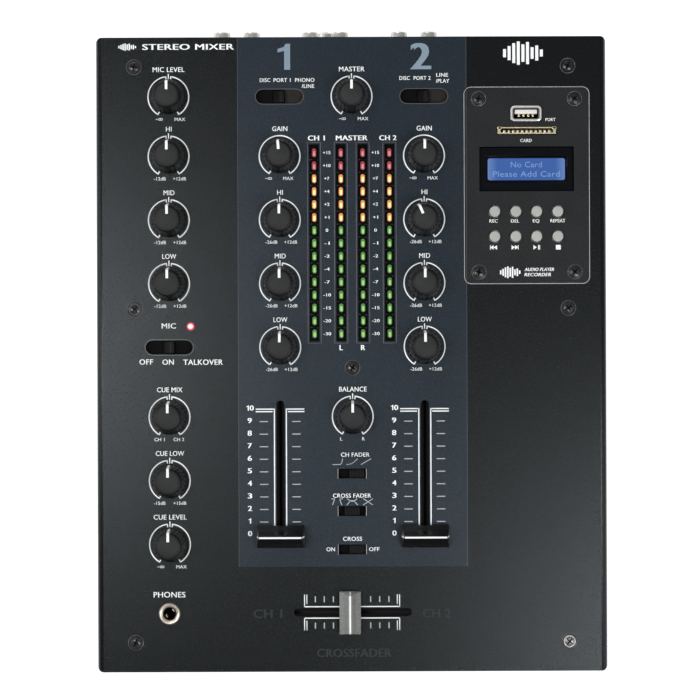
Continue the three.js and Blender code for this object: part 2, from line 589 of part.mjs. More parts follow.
// Power board on four pillars, with a heat sink, capacitors and regulators.
function powerBoard() {
  const { x, y, width, depth, top, thickness } = POWER_BOARD;
  const low = TRAY_INSIDE + GAP;
  const pillars = [-1, 1].flatMap((sideX) => [-1, 1].map((sideY) =>
    post(x + sideX * (width / 2 - 5), y + sideY * (depth / 2 - 5), 3, 3, low, top - 1, 8)));
  const capacitors = [[-28, 20, 8, 26], [-28, -2, 8, 26], [-8, 24, 5, 18], [6, 24, 5, 18]].map(
    ([dx, dy, radius, height]) => post(x + dx, y + dy, radius, radius, top - 0.5, top + height, 14));
  const heatSink = block(x + 28, y - 6, 14, 44, top - 0.5, top + 30);
  const fins = [-1, 0, 1].map((step) => block(x + 32, y - 6 + step * 12, 14, 6, top + 3, top + 31));
  const regulators = block(x + 18, y - 6, 5, 30, top - 0.5, top + 18);
  return union(cut(union(block(x, y, width, depth, top - thickness, top), heatSink), ...fins),
    ...pillars, ...capacitors, regulators);
}

// ---------- assembly ----------

const mixer = new THREE.Group();
mixer.position.set(0, SHIFT_Y, 0);

function place(name, solid, material, x = 0, y = 0, z = 0) {
  const mesh = new THREE.Mesh(toGeometry(solid), material);
  mesh.name = name;
  mesh.position.set(x, y, z);
  mixer.add(mesh);
  return mesh;
}

place('top_panel', topPanel(), BLACK_COAT);
place('base_tray', baseTray(), BLACK_COAT);
for (const [sideX, wordX] of [[-1, 'left'], [1, 'right']]) {
  for (const [sideY, wordY] of [[-1, 'front'], [1, 'rear']]) {
    place(`foot_${wordY}_${wordX}`, foot(), RUBBER,
      sideX * (PANEL.width / 2 - FOOT_INSET.x), sideY * (PANEL.depth / 2 - FOOT_INSET.y));
  }
}

for (const { name, x, y } of knobPlaces) {
  const mesh = place(name, knob(), KNOB_BLACK, x, y);
  if (name === TURNED_KNOB.name) mesh.rotation.z = THREE.MathUtils.degToRad(TURNED_KNOB.degrees);
}

for (const [channel, x] of Object.entries(CHANNELS)) {
  place(`fader_${channel}_body`, faderBody(FADER_SLOT.length), TIN, x, FADER_SLOT.middleY);
  place(`fader_${channel}_cap`, faderCap(CAP.length, CAP.width), KNOB_BLACK, x, FADER.startY);
}
place('crossfader_body', faderBody(CROSS.slotLength), TIN, CROSS.x, CROSS.y).rotation.z = Math.PI / 2;
place('crossfader_cap', faderCap(CROSS.capLength, CROSS.capWidth), CAP_GREY, CROSS.startX, CROSS.y)
  .rotation.z = Math.PI / 2;

for (const [name, [x, y]] of Object.entries(SELECTORS)) {
  place(name, slider([SELECTOR.length, SELECTOR.width], [SELECTOR.lever, SELECTOR.leverDepth],
    SELECTOR.leverTop, SELECTOR.travel), KNOB_BLACK, x, y);
}
for (const [name, { y, offset }] of Object.entries(SLIDES)) {
  place(name, ribbedSlider(offset), KNOB_BLACK, SLIDE.x, y);
}

place('control_board', controlBoard(), BOARD_GREEN);
place('meter_block', meterBlock(), METER_BLACK);
place('phones_bush', phonesBush(), NICKEL, PHONES.x, PHONES.y);
place('phones_jack', phonesJack(), BLACK_PLASTIC, PHONES.x, PHONES.y);

place('player_plate', playerPlate(), PLATE_COAT);
place('stick_socket', dataSocket(), NICKEL);
place('card_socket', cardSocket(), TIN);
place('screen_module', screenModule(), BLACK_PLASTIC);
place('screen_glass', screenGlass(), GLASS_BLUE);
place('player_board', playerBoard(), BOARD_GREEN);
for (const { name, x, y } of buttonPlaces) place(name, button(), BUTTON_GREY, x, y);

place('rear_board', rearBoard(), BLACK_PLASTIC);
place('ground_post', groundPost(), NICKEL);
place('mic_input', micInput(), BLACK_PLASTIC);
place('mains_inlet', mainsInlet(), BLACK_PLASTIC);
place('power_rocker', rocker(), BLACK_PLASTIC, INLET.x, ROCKER.pivotY, INLET.z + ROCKER.dz)
  .rotation.x = THREE.MathUtils.degToRad(ROCKER.tilt);
place('transformer', transformer(), CORE_STEEL);
place('power_board', powerBoard(), BOARD_GREEN);

export default mixer;
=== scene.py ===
"""Table-top DJ mixer: the visible pieces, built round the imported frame.

Shapes are drawn in millimetres from the middle of the top panel in plan, with heights from the table, and
are brought to metres in the row frame when they become pieces.
"""

from __future__ import annotations

import json
import logging
import math
from dataclasses import dataclass, field
from enum import Enum
from typing import Iterable, Sequence

import bmesh
import bpy
from mathutils import Matrix, Vector


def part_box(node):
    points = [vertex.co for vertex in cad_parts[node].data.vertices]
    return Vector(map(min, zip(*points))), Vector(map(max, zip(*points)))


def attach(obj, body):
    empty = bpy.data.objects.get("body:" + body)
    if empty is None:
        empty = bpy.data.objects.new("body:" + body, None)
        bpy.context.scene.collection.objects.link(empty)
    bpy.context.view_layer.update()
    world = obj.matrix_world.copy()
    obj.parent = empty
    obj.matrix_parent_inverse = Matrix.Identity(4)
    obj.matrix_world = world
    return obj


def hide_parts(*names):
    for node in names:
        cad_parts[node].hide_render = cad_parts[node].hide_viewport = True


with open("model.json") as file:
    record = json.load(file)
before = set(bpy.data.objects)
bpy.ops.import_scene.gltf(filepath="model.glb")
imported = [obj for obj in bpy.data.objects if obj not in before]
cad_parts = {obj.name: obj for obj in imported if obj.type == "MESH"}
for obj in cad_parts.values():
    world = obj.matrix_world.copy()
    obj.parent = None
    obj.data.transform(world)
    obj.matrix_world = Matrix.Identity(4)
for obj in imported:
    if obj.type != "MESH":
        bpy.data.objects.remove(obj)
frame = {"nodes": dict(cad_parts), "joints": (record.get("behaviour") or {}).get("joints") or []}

LOG = logging.getLogger("mixer")
MM = 0.001
CASE = "case"
LEVEL_AREA = 4e-6  # square metres past which a face along an axis is shaded flat
Point = tuple[float, float]
Spot = tuple[float, float, float]
Colour = tuple[float, float, float]

_PANEL_LOW, _PANEL_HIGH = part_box("top_panel")
MIDDLE = Vector(((_PANEL_LOW.x + _PANEL_HIGH.x) / 2, (_PANEL_LOW.y + _PANEL_HIGH.y) / 2, 0.0))
TOP = _PANEL_HIGH.z / MM
HALF_DEPTH = (_PANEL_HIGH.y - _PANEL_LOW.y) / 2 / MM


def extent(node: str) -> tuple[Vector, Vector]:
    """Lowest and highest corner of a CAD node, in drawing millimetres."""
    low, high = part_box(node)
    return (low - MIDDLE) / MM, (high - MIDDLE) / MM


def plan(node: str) -> Point:
    """Middle of a CAD node in plan, in drawing millimetres."""
    low, high = extent(node)
    return (low.x + high.x) / 2, (low.y + high.y) / 2


def srgb(red: int, green: int, blue: int) -> Colour:
    """Linear colour of a display colour given in steps of 255."""
    def linear(step: int) -> float:
        """One channel, from display to linear."""
        share = step / 255
        return share / 12.92 if share <= 0.04045 else ((share + 0.055) / 1.055) ** 2.4
    return linear(red), linear(green), linear(blue)


# ---------------------------------------------------------------- finishes


class Graph:
    """Shader node tree of one material, with short calls for the nodes that the finishes share."""

    def __init__(self, name: str) -> None:
        """Starts an empty tree with a Principled shader joined to its output."""
        self.material = bpy.data.materials.new(name)
        self.material.use_nodes = True
        self.tree = self.material.node_tree
        self.tree.nodes.clear()
        self.shader = self.node("ShaderNodeBsdfPrincipled")
        output = self.node("ShaderNodeOutputMaterial")
        self.tree.links.new(self.shader.outputs["BSDF"], output.inputs["Surface"])
        self.place = self.node("ShaderNodeTexCoord").outputs["Object"]

    def node(self, kind: str, inputs: dict | None = None, **settings: object) -> bpy.types.Node:
        """Adds a node.

        Args:
            kind: Blender's name of the node type.
            inputs: value or source socket for each input, by name or index.
            settings: the node's own properties.

        Returns:
            The new node.
        """
        made = self.tree.nodes.new(kind)
        for key, value in settings.items():
            setattr(made, key, value)
        for key, value in (inputs or {}).items():
            if isinstance(value, bpy.types.NodeSocket):
                self.tree.links.new(value, made.inputs[key])
            else:
                made.inputs[key].default_value = value
        return made

    def maths(self, operation: str, first: object, second: object = 0.0) -> bpy.types.NodeSocket:
        """Result of one Math node."""
        return self.node("ShaderNodeMath", {0: first, 1: second}, operation=operation).outputs[0]

    def noise(self, size: float, detail: float = 2.0, stretch: Spot = (1.0, 1.0,
        1.0)) -> bpy.types.NodeSocket:
        """Noise of about the given grain size in millimetres, drawn out by stretch."""
        scale = tuple(1 / (size * MM * share) for share in stretch)
        mapping = self.node("ShaderNodeMapping", {"Vector": self.place, "Scale": scale})
        return self.node("ShaderNodeTexNoise", {"Vector": mapping.outputs[0], "Scale": 1.0, "Detail": detail,
                                                "Roughness": 0.6}).outputs["Fac"]

    def spread(self, source: bpy.types.NodeSocket, low: float, high: float, start: float = 0.3,
               end: float = 0.7) -> bpy.types.NodeSocket:
        """Brings a source from start..end to low..high."""
        return self.node("ShaderNodeMapRange", {"Value": source, "From Min": start, "From Max": end,
                                                "To Min": low, "To Max": high}).outputs["Result"]

    def mix(self, share: object, first: object, second: object) -> bpy.types.NodeSocket:
        """Colour between two colours."""
        made = self.node("ShaderNodeMix", data_type="RGBA")
        for socket, value in ((made.inputs[0], share), (made.inputs[6], first), (made.inputs[7], second)):
            if isinstance(value, bpy.types.NodeSocket):
                self.tree.links.new(value, socket)
            elif isinstance(value, tuple):
                socket.default_value = (*value, 1.0)
            else:
                socket.default_value = value
        return made.outputs[2]

    def set(self, socket: str, value: object) -> None:
        """Sets or joins one input of the shader."""
        if isinstance(value, bpy.types.NodeSocket):
            self.tree.links.new(value, self.shader.inputs[socket])
        else:
            self.shader.inputs[socket].default_value = (*value, 1.0) if isinstance(value, tuple) else value


@dataclass(frozen=True)
class Finish:
    """Moulded, coated or metal surface with grain, tone and gloss that vary over it.

    Fields are the record's slot, the linear colour, the mean roughness, metalness, the specular level, the
    grain's size and height in millimetres, its stretch, the share by which tone varies and its patch size,
    the share of pale flecks, coat weight, and the tint of its sheen.
    """

    slot: str
    colour: Colour
    roughness: float = 0.45
    metallic: float = 0.0
    specular: float = 0.5
    grain: float = 0.5
    height: float = 0.02
    stretch: Spot = (1.0, 1.0, 1.0)
    tone: float = 0.12
    patch: float = 9.0
    flecks: float = 0.0
    coat: float = 0.0
    tint: Colour = (1.0, 1.0, 1.0)
    name: str = ""

    def material(self) -> bpy.types.Material:
        """The finish's material, made once."""
        title = self.name or self.slot + "_finish"
        found = bpy.data.materials.get(title)
        return found or self.build(Graph(title))

    def tinted(self, graph: Graph, colour: Colour) -> bpy.types.NodeSocket:
        """Colour with slow patches of tone and fine flecks over it."""
        dark = tuple(part * (1 - self.tone) for part in colour)
        light = tuple(part * (1 + self.tone) for part in colour)
        body = graph.mix(graph.spread(graph.noise(self.patch, 3.0), 0.0, 1.0), dark, light)
        if self.flecks:
            spots = graph.spread(graph.noise(0.35, 1.0), 0.0, self.flecks, 0.62, 0.72)
            body = graph.mix(spots, body, tuple(min(1.0, part + 0.12) for part in colour))
        return body

    def build(self, graph: Graph) -> bpy.types.Material:
        """Joins the shader up.

        Args:
            graph: the empty tree.

        Returns:
            The finished material.
        """
        graph.set("Base Color", self.tinted(graph, self.colour))
        graph.set("Metallic", self.metallic)
        graph.set("Specular IOR Level", self.specular)
        fine = graph.noise(self.grain, 2.0, self.stretch)
        wide = self.roughness * 0.16
        graph.set("Roughness", graph.spread(fine, self.roughness - wide, self.roughness + wide))
        graph.set("Coat Weight", self.coat)
        graph.set("Specular Tint", self.tint)
        bump = graph.node("ShaderNodeBump", {"Strength": 1.0, "Distance": self.height * MM, "Height": fine})
        graph.set("Normal", bump.outputs["Normal"])
        return graph.material


@dataclass(frozen=True)
class PanelCoat(Finish):
    """Powder coat with the slate field printed on its top face."""

    slate: Colour = (0.02, 0.025, 0.03)
    field_x: Point = (-56.3, 57.4)
    field_y: float = -105.7

    def build(self, graph: Graph) -> bpy.types.Material:
        """Adds the slate field to the plain coat."""
        super().build(graph)
        split = graph.node("ShaderNodeSeparateXYZ", {"Vector": graph.place})
        inside = [
            graph.maths("GREATER_THAN", split.outputs["X"], MIDDLE.x + self.field_x[0] * MM),
            graph.maths("LESS_THAN", split.outputs["X"], MIDDLE.x + self.field_x[1] * MM),
            graph.maths("GREATER_THAN", split.outputs["Y"], MIDDLE.y + self.field_y * MM),
            graph.maths("GREATER_THAN", split.outputs["Z"], (TOP - 0.3) * MM),
        ]
        mask = inside[0]
        for limit in inside[1:]:
            mask = graph.maths("MULTIPLY", mask, limit)
        graph.set("Base Color", graph.mix(mask, self.tinted(graph, self.colour), self.tinted(graph,
            self.slate)))
        return graph.material


@dataclass(frozen=True)
class Glow(Finish):
    """Lit plastic: a coloured lens that shines by itself."""

    strength: float = 1.0
    light: Colour = (1.0, 1.0, 1.0)

    def build(self, graph: Graph) -> bpy.types.Material:
        """Adds light that varies a little over the lens."""
        super().build(graph)
        dim = tuple(part * 0.8 for part in self.light)
        graph.set("Emission Color", graph.mix(graph.spread(graph.noise(1.1), 0.0, 1.0), dim, self.light))
        graph.set("Emission Strength", self.strength)
        return graph.material


@dataclass(frozen=True)
class Display(Glow):
    """Backlit liquid-crystal screen with its cells and paler ends."""

    cell: float = 0.55

    def build(self, graph: Graph) -> bpy.types.Material:
        """Adds the cell grid and the lamps at both ends."""
        super().build(graph)
        split = graph.node("ShaderNodeSeparateXYZ", {"Vector": graph.place})
        lines = []
        for axis in ("X", "Y"):
            phase = graph.maths("FRACT", graph.maths("DIVIDE", split.outputs[axis], self.cell * MM))
            lines.append(graph.maths("GREATER_THAN", phase, 0.86))
        grid = graph.maths("MULTIPLY", graph.maths("MAXIMUM", *lines), 0.22)
        middle = plan("screen_glass")
        across = graph.maths("SUBTRACT", split.outputs["X"], MIDDLE.x + middle[0] * MM)
        ends = graph.spread(graph.maths("ABSOLUTE", across), 0.0, 0.8, 0.0145, 0.0195)
        body = graph.mix(ends, self.light, (0.2, 0.33, 0.66))
        graph.set("Emission Color", graph.mix(grid, body, (0.03, 0.09, 0.32)))
        return graph.material


COAT = PanelCoat("powder_coat_black", srgb(11, 13, 14), 0.25, specular=0.26, grain=0.8, height=0.08,
                 tone=0.12,
                 patch=1.6, tint=(0.88, 0.96, 1.0), slate=srgb(32, 40, 48), name="panel_coat")
TRAY_COAT = Finish("powder_coat_black", srgb(14, 15, 16), 0.34, specular=0.3, grain=0.9, height=0.06,
                   patch=2.4)
PLATE = Finish("plate_black", srgb(36, 37, 38), 0.28, specular=0.2, grain=0.9, height=0.004, patch=15.0)
KNOB_BLACK = Finish("control_black", srgb(10, 10, 11), 0.38, specular=0.25, grain=0.6, height=0.01,
                    flecks=0.04)
KNOB_DISC = Finish("control_black", srgb(36, 37, 37), 0.6, specular=0.25, grain=0.6, height=0.02, flecks=0.08,
                   name="knob_disc")
CAP_BLACK = Finish("control_black", srgb(14, 15, 15), 0.3, specular=0.4, grain=0.6, height=0.006,
                   name="cap_black")
LEVER = Finish("control_black", srgb(7, 7, 8), 0.42, specular=0.12, grain=0.5, height=0.008,
               name="lever_black")
CAP_GREY = Finish("cap_grey", srgb(138, 139, 137), 0.55, specular=0.2, grain=0.5, height=0.03,
                  tone=0.3, patch=0.9, flecks=0.4)
BUTTON = Finish("button_grey", srgb(164, 168, 162), 0.45, specular=0.3, grain=0.3, height=0.01, tone=0.05)
NICKEL = Finish("nickel", srgb(216, 208, 194), 0.3, metallic=0.8, grain=1.6, height=0.002, tone=0.05)
TIN = Finish("tinned_steel", srgb(168, 170, 170), 0.34, metallic=1.0, grain=0.9, height=0.006, tone=0.12)
GOLD_TIN = Finish("nickel", srgb(214, 202, 172), 0.36, metallic=0.8, grain=1.2, height=0.003,
                  name="contact_nickel")
SCREW = Finish("screw_black", srgb(58, 58, 59), 0.28, metallic=0.7, grain=0.9, height=0.008)
# Paler metal for one lid screw: a painted reflection of the light on its head.
SCREW_SHEEN = Finish("screw_black", srgb(126, 126, 124), 0.3, metallic=0.85, grain=0.9, height=0.008,
                    name="screw_sheen")
SHELL = Finish("nickel", srgb(222, 221, 216), 0.24, metallic=0.45, grain=3.0, height=0.001, tone=0.05,
               name="shell_nickel")
PLASTIC = Finish("plastic_black", srgb(14, 14, 15), 0.46, specular=0.3, grain=0.6, height=0.02)
SMOKED = Finish("plastic_black", srgb(9, 11, 16), 0.16, specular=0.16, grain=2.0, height=0.002,
                name="smoked_window")
CARRIER = Finish("plastic_black", srgb(8, 7, 9), 0.2, specular=0.1, grain=1.0, height=0.004,
                 name="lamp_carrier")
# Light metal grey for the lid's cut edge round the player plate: a painted highlight where that edge catches
# the light.
EDGE_HIGHLIGHT = Finish("screw_black", srgb(176, 178, 180), 0.34, metallic=0.3, grain=0.7, height=0.01,
                   name="edge_highlight")
# Mid grey for the thin rings round screw countersinks and selector openings: a painted highlight on those
# edges.
WELL_HIGHLIGHT = Finish("screw_black", srgb(84, 85, 86), 0.36, metallic=0.4, grain=0.7, height=0.01,
                   name="well_highlight")
# Paler brownish grey for the strip right of a selector lever: painted light on the lit side of the opening.
SHUTTER_SHEEN = Finish("plastic_black", srgb(36, 33, 30), 0.6, specular=0.25, grain=0.5, height=0.03, tone=0.3,
                 patch=1.2,
                 name="shutter_sheen")
# Matte black of the slot lips, shutters and linings; the same black also fills screw crosses and countersinks
# as painted shade.
BLACK_LIP_AND_SHADE = Finish("plastic_black", srgb(7, 7, 8), 0.8, specular=0.15, grain=0.4, height=0.04, name="dust_lip")
WHITE_PLASTIC = Finish("plastic_white", srgb(222, 220, 212), 0.45, grain=0.4, height=0.01, tone=0.05)
RED_PLASTIC = Finish("plastic_red", srgb(160, 22, 24), 0.4, grain=0.4, height=0.01, tone=0.06)
RUBBER = Finish("rubber_black", srgb(20, 20, 20), 0.85, specular=0.25, grain=0.6, height=0.05)
BOARD = Finish("board_green", srgb(20, 62, 38), 0.5, grain=3.0, height=0.03, patch=5.0, tone=0.2)
CORE = Finish("core_steel", srgb(112, 114, 118), 0.42, metallic=0.9, grain=0.5, stretch=(40.0, 40.0, 1.0))
COPPER = Finish("copper", srgb(176, 104, 62), 0.3, metallic=1.0, grain=0.5, stretch=(1.0, 40.0, 40.0))
INK = Finish("print_white", srgb(240, 242, 242), 0.6, grain=0.6, height=0.004, tone=0.03, patch=3.0)
TICK_INK = Finish("print_white", srgb(176, 181, 184), 0.6, grain=0.6, height=0.004, tone=0.05,
                  name="tick_ink")
DIGIT_INK = Finish("print_dim", srgb(122, 140, 155), 0.55, grain=0.9, height=0.015, tone=0.06,
                   name="digit_ink")
FAINT_INK = Finish("print_dim", srgb(26, 33, 38), 0.5, specular=0.3, grain=0.9, height=0.02, tone=0.06)
EDGE_INK = Finish("print_dim", srgb(56, 62, 68), 0.5, grain=0.9, height=0.015, name="edge_ink")
# Pale purplish grey lines round the meter windows: a painted highlight on the window edges.
RIM_HIGHLIGHT = Finish("print_dim", srgb(94, 88, 92), 0.5, grain=0.9, height=0.015, tone=0.3, patch=6.0,
                 name="rim_highlight")
RED_LENS = Glow("lamp_red", srgb(104, 22, 34), 0.3, strength=0.3, light=srgb(220, 84, 104), coat=0.3)
AMBER_LENS = Glow("lamp_amber", srgb(150, 84, 30), 0.3, strength=0.6, light=srgb(245, 172, 90), coat=0.3)
GREEN_LENS = Glow("lamp_green", srgb(34, 84, 30), 0.3, strength=0.34, light=srgb(104, 186, 78), coat=0.3)
RED_HEART = Glow("lamp_red", srgb(150, 80, 84), 0.3, strength=0.5, light=srgb(240, 160, 160),
                 name="red_heart")
AMBER_HEART = Glow("lamp_amber", srgb(180, 140, 70), 0.3, strength=0.95, light=srgb(255, 236, 190),
                   name="amber_heart")
GREEN_HEART = Glow("lamp_green", srgb(90, 140, 60), 0.3, strength=0.55, light=srgb(192, 230, 146),
                   name="green_heart")
LAMP_LENS = Glow("lamp_red", srgb(200, 60, 75), 0.25, strength=0.9, light=srgb(250, 110, 125),
                 name="lamp_lens")
LAMP_CORE = Glow("lamp_red", srgb(240, 200, 200), 0.25, strength=1.3, light=srgb(255, 225, 225),
                 name="lamp_core")
SCREEN = Display("screen_blue", srgb(10, 20, 50), 0.2, strength=0.8, light=srgb(62, 104, 176), coat=0.2)
SCREEN_INK = Glow("screen_blue", srgb(60, 80, 120), 0.3, strength=0.52, light=srgb(150, 188, 245),
                  name="screen_ink")


# ---------------------------------------------------------------- shapes


def reach(outer: Sequence[float]) -> tuple[float, float]:
    """Lowest and highest of some numbers."""
    return min(outer), max(outer)


def soften(bm: bmesh.types.BMesh, offset: float, segments: int = 2, angle: float = 30.0) -> None:
    """Bevels every edge that turns by more than an angle in degrees."""
    limit = math.radians(angle)
    edges = [edge for edge in bm.edges if len(edge.link_faces) == 2 and edge.calc_face_angle(0.0) > limit]
    bmesh.ops.bevel(bm, geom=edges, offset=offset, segments=segments, profile=0.5, affect="EDGES",
                    clamp_overlap=True, material=-1)


def cuboid(centre: Spot, size: Spot, corner: float = 0.0, edge: float = 0.0,
           segments: int = 4) -> bmesh.types.BMesh:
    """Block with rounded upright corners and eased horizontal edges.

    Args:
        centre: its middle.
        size: its size along X, Y and Z.
        corner: radius of the upright corners.
        edge: width of the bevel round top and bottom.
        segments: steps in each corner.

    Returns:
        The closed mesh.
    """
    bm = bmesh.new()
    bmesh.ops.create_cube(bm, size=1.0)
    bmesh.ops.scale(bm, vec=size, verts=bm.verts[:])
    if corner:
        upright = [e for e in bm.edges if (e.verts[0].co - e.verts[1].co).xy.length < 1e-6]
        bmesh.ops.bevel(bm, geom=upright, offset=corner, segments=segments, profile=0.5, affect="EDGES",
                        material=-1)
    if edge:
        rims = [e for e in bm.edges if abs(e.verts[0].co.z - e.verts[1].co.z) < 1e-6]
        bmesh.ops.bevel(bm, geom=rims, offset=edge, segments=2, profile=0.5, affect="EDGES", material=-1)
    bmesh.ops.translate(bm, vec=centre, verts=bm.verts[:])
    return bm


def slab(x: Point, y: Point, z: Point, corner: float = 0.0, edge: float = 0.0) -> bmesh.types.BMesh:
    """Block between limits on each axis."""
    centre = tuple((low + high) / 2 for low, high in (x, y, z))
    return cuboid(centre, tuple(abs(high - low) for low, high in (x, y, z)), corner, edge)


def lathe(profile: Sequence[Point], steps: int = 48, closed: bool = False) -> bmesh.types.BMesh:
    """Turned shape about Z.

    Args:
        profile: radius and height of each point, from the axis to the axis unless closed.
        steps: sides of the turned shape.
        closed: the profile is a loop clear of the axis.

    Returns:
        The closed mesh.
    """
    bm = bmesh.new()
    verts = [bm.verts.new((radius, 0.0, height)) for radius, height in profile]
    edges = [bm.edges.new(pair) for pair in zip(verts, verts[1:] + (verts[:1] if closed else []))]
    bmesh.ops.spin(bm, geom=verts + edges, cent=(0, 0, 0), axis=(0, 0, 1), dvec=(0, 0, 0), angle=math.tau,
                   steps=steps, use_merge=True, use_normal_flip=False, use_duplicate=False)
    bmesh.ops.remove_doubles(bm, verts=bm.verts[:], dist=1e-4)
    bmesh.ops.recalc_face_normals(bm, faces=bm.faces[:])
    return bm


def prism(outline: Sequence[Point], low: float, high: float) -> bmesh.types.BMesh:
    """Outline in X and Y carried up from one height to another."""
    bm = bmesh.new()
    face = bm.faces.new([bm.verts.new((x, y, low)) for x, y in outline])
    grown = bmesh.ops.extrude_face_region(bm, geom=[face])
    top = [item for item in grown["geom"] if isinstance(item, bmesh.types.BMVert)]
    bmesh.ops.translate(bm, vec=(0, 0, high - low), verts=top)
    bmesh.ops.recalc_face_normals(bm, faces=bm.faces[:])
    return bm


def band(radius: float, width: float, start: float, end: float, low: float, high: float) -> bmesh.types.BMesh:
    """Arc of a flat ring about the origin, from one angle to another in degrees, as the clock
    turns from +Y."""
    bm = bmesh.new()
    inner, outer = radius - width / 2, radius + width / 2
    corners = [(0, inner, low), (0, outer, low), (0, outer, high), (0, inner, high)]
    face = bm.faces.new([bm.verts.new(corner) for corner in corners])
    bmesh.ops.rotate(bm, cent=(0, 0, 0), matrix=Matrix.Rotation(math.radians(-start), 3, "Z"),
                     verts=bm.verts[:])
    steps = max(3, round(abs(end - start) / 5))
    bmesh.ops.spin(bm, geom=[face, *face.edges, *face.verts], cent=(0, 0, 0), axis=(0, 0, 1), dvec=(0, 0, 0),
                   angle=math.radians(start - end), steps=steps, use_merge=False, use_normal_flip=False,
                   use_duplicate=False)
    bmesh.ops.remove_doubles(bm, verts=bm.verts[:], dist=1e-4)
    bmesh.ops.recalc_face_normals(bm, faces=bm.faces[:])
    return bm


def laid(bm: bmesh.types.BMesh, turn: float = 0.0, axis: str = "Z",
         at: Spot = (0, 0, 0)) -> bmesh.types.BMesh:
    """Turns a shape about the origin by degrees, then moves it."""
    bmesh.ops.rotate(bm, cent=(0, 0, 0), matrix=Matrix.Rotation(math.radians(turn), 3, axis),
                     verts=bm.verts[:])
    bmesh.ops.translate(bm, vec=at, verts=bm.verts[:])
    return bm


def rearward(bm: bmesh.types.BMesh, x: float, y: float, z: float) -> bmesh.types.BMesh:
    """Lays a shape that was turned about Z along Y, its top to the rear."""
    return laid(bm, -90.0, "X", (x, y, z))


def carve(bm: bmesh.types.BMesh, cutter: bmesh.types.BMesh) -> bmesh.types.BMesh:
    """Cuts one closed shape out of another.

    Args:
        bm: what is cut.
        cutter: what is taken away.

    Returns:
        The cut shape.
    """
    blanks = []
    for part in (bm, cutter):
        mesh = bpy.data.meshes.new("blank")
        part.to_mesh(mesh)
        part.free()
        blank = bpy.data.objects.new("blank", mesh)
        bpy.context.scene.collection.objects.link(blank)
        blanks.append(blank)
    modifier = blanks[0].modifiers.new("cut", "BOOLEAN")
    modifier.operation, modifier.solver, modifier.object = "DIFFERENCE", "EXACT", blanks[1]
    result = bpy.data.meshes.new_from_object(blanks[0].evaluated_get(bpy.context.evaluated_depsgraph_get()))
    made = bmesh.new()
    made.from_mesh(result)
    for blank in blanks:
        bpy.data.objects.remove(blank)
    bpy.data.meshes.remove(result)
    return made


class Shape:
    """One piece's mesh, gathered from closed parts."""

    def __init__(self, *parts: bmesh.types.BMesh) -> None:
        """Starts with some parts."""
        self.bm = bmesh.new()
        self.add(*parts)

    def add(self, *parts: bmesh.types.BMesh) -> Shape:
        """Takes parts in, and frees them."""
        for part in parts:
            mesh = bpy.data.meshes.new("part")
            part.to_mesh(mesh)
            part.free()
            self.bm.from_mesh(mesh)
            bpy.data.meshes.remove(mesh)
        return self

    def stamp(self, pattern: bmesh.types.BMesh, matrix: Matrix) -> Shape:
        """Adds a copy of a pattern, moved by a matrix."""
        copy = pattern.copy()
        bmesh.ops.transform(copy, matrix=matrix, verts=copy.verts[:])
        return self.add(copy)

    @classmethod
    def of_node(cls, node: str, offset: float, angle: float = 28.0, segments: int = 2) -> Shape:
        """Merged copy of a CAD node with its flat faces joined and its edges eased."""
        shape = cls()
        shape.bm.from_mesh(frame["nodes"][node].data)
        bmesh.ops.translate(shape.bm, vec=-MIDDLE, verts=shape.bm.verts[:])
        bmesh.ops.scale(shape.bm, vec=(1 / MM,) * 3, verts=shape.bm.verts[:])
        bmesh.ops.remove_doubles(shape.bm, verts=shape.bm.verts[:], dist=2e-3)
        bmesh.ops.dissolve_limit(shape.bm, angle_limit=math.radians(0.6), verts=shape.bm.verts[:],
                                 edges=shape.bm.edges[:], use_dissolve_boundaries=False)
        if offset:
            soften(shape.bm, offset, segments, angle)
        return shape

    def piece(self, name: str, finish: Finish, body: str = CASE, replaces: Iterable[str] = (),
              smooth: float = 34.0) -> bpy.types.Object:
        """Makes the shape a piece of the mixer.

        Args:
            name: the piece's name.
            finish: what it is made of.
            body: the CAD body that it rides on.
            replaces: the CAD nodes that it stands for.
            smooth: faces that meet at less than this many degrees are shaded as one surface.

        Returns:
            The new object.
        """
        bmesh.ops.scale(self.bm, vec=(MM,) * 3, verts=self.bm.verts[:])
        bmesh.ops.translate(self.bm, vec=MIDDLE, verts=self.bm.verts[:])
        mesh = bpy.data.meshes.new(name)
        self.bm.to_mesh(mesh)
        self.bm.free()
        mesh.shade_smooth()
        mesh.set_sharp_from_angle(angle=math.radians(smooth))
        for polygon in mesh.polygons:
            if polygon.area > LEVEL_AREA and max(abs(part) for part in polygon.normal) > 0.99995:
                polygon.use_smooth = False
        made = bpy.data.objects.new(name, mesh)
        bpy.context.scene.collection.objects.link(made)
        mesh.materials.append(finish.material())
        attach(made, body)
        names = tuple(replaces)
        if names:
            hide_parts(*names)
        LOG.info("%s rides on %s, %d faces", name, body, len(mesh.polygons))
        return made


def dress(node: str, finish: Finish) -> None:
    """Gives a carried-over CAD node its finish and eases its edges."""
    made = frame["nodes"][node]
    if not made.material_slots:
        made.data.materials.append(None)
    for slot in made.material_slots:
        slot.material = finish.material()
    weld = made.modifiers.new("weld", "WELD")
    weld.merge_threshold = 0.00001
    bevel = made.modifiers.new("ease", "BEVEL")
    bevel.width, bevel.segments, bevel.limit_method = 0.00015, 1, "ANGLE"


# ---------------------------------------------------------------- screws


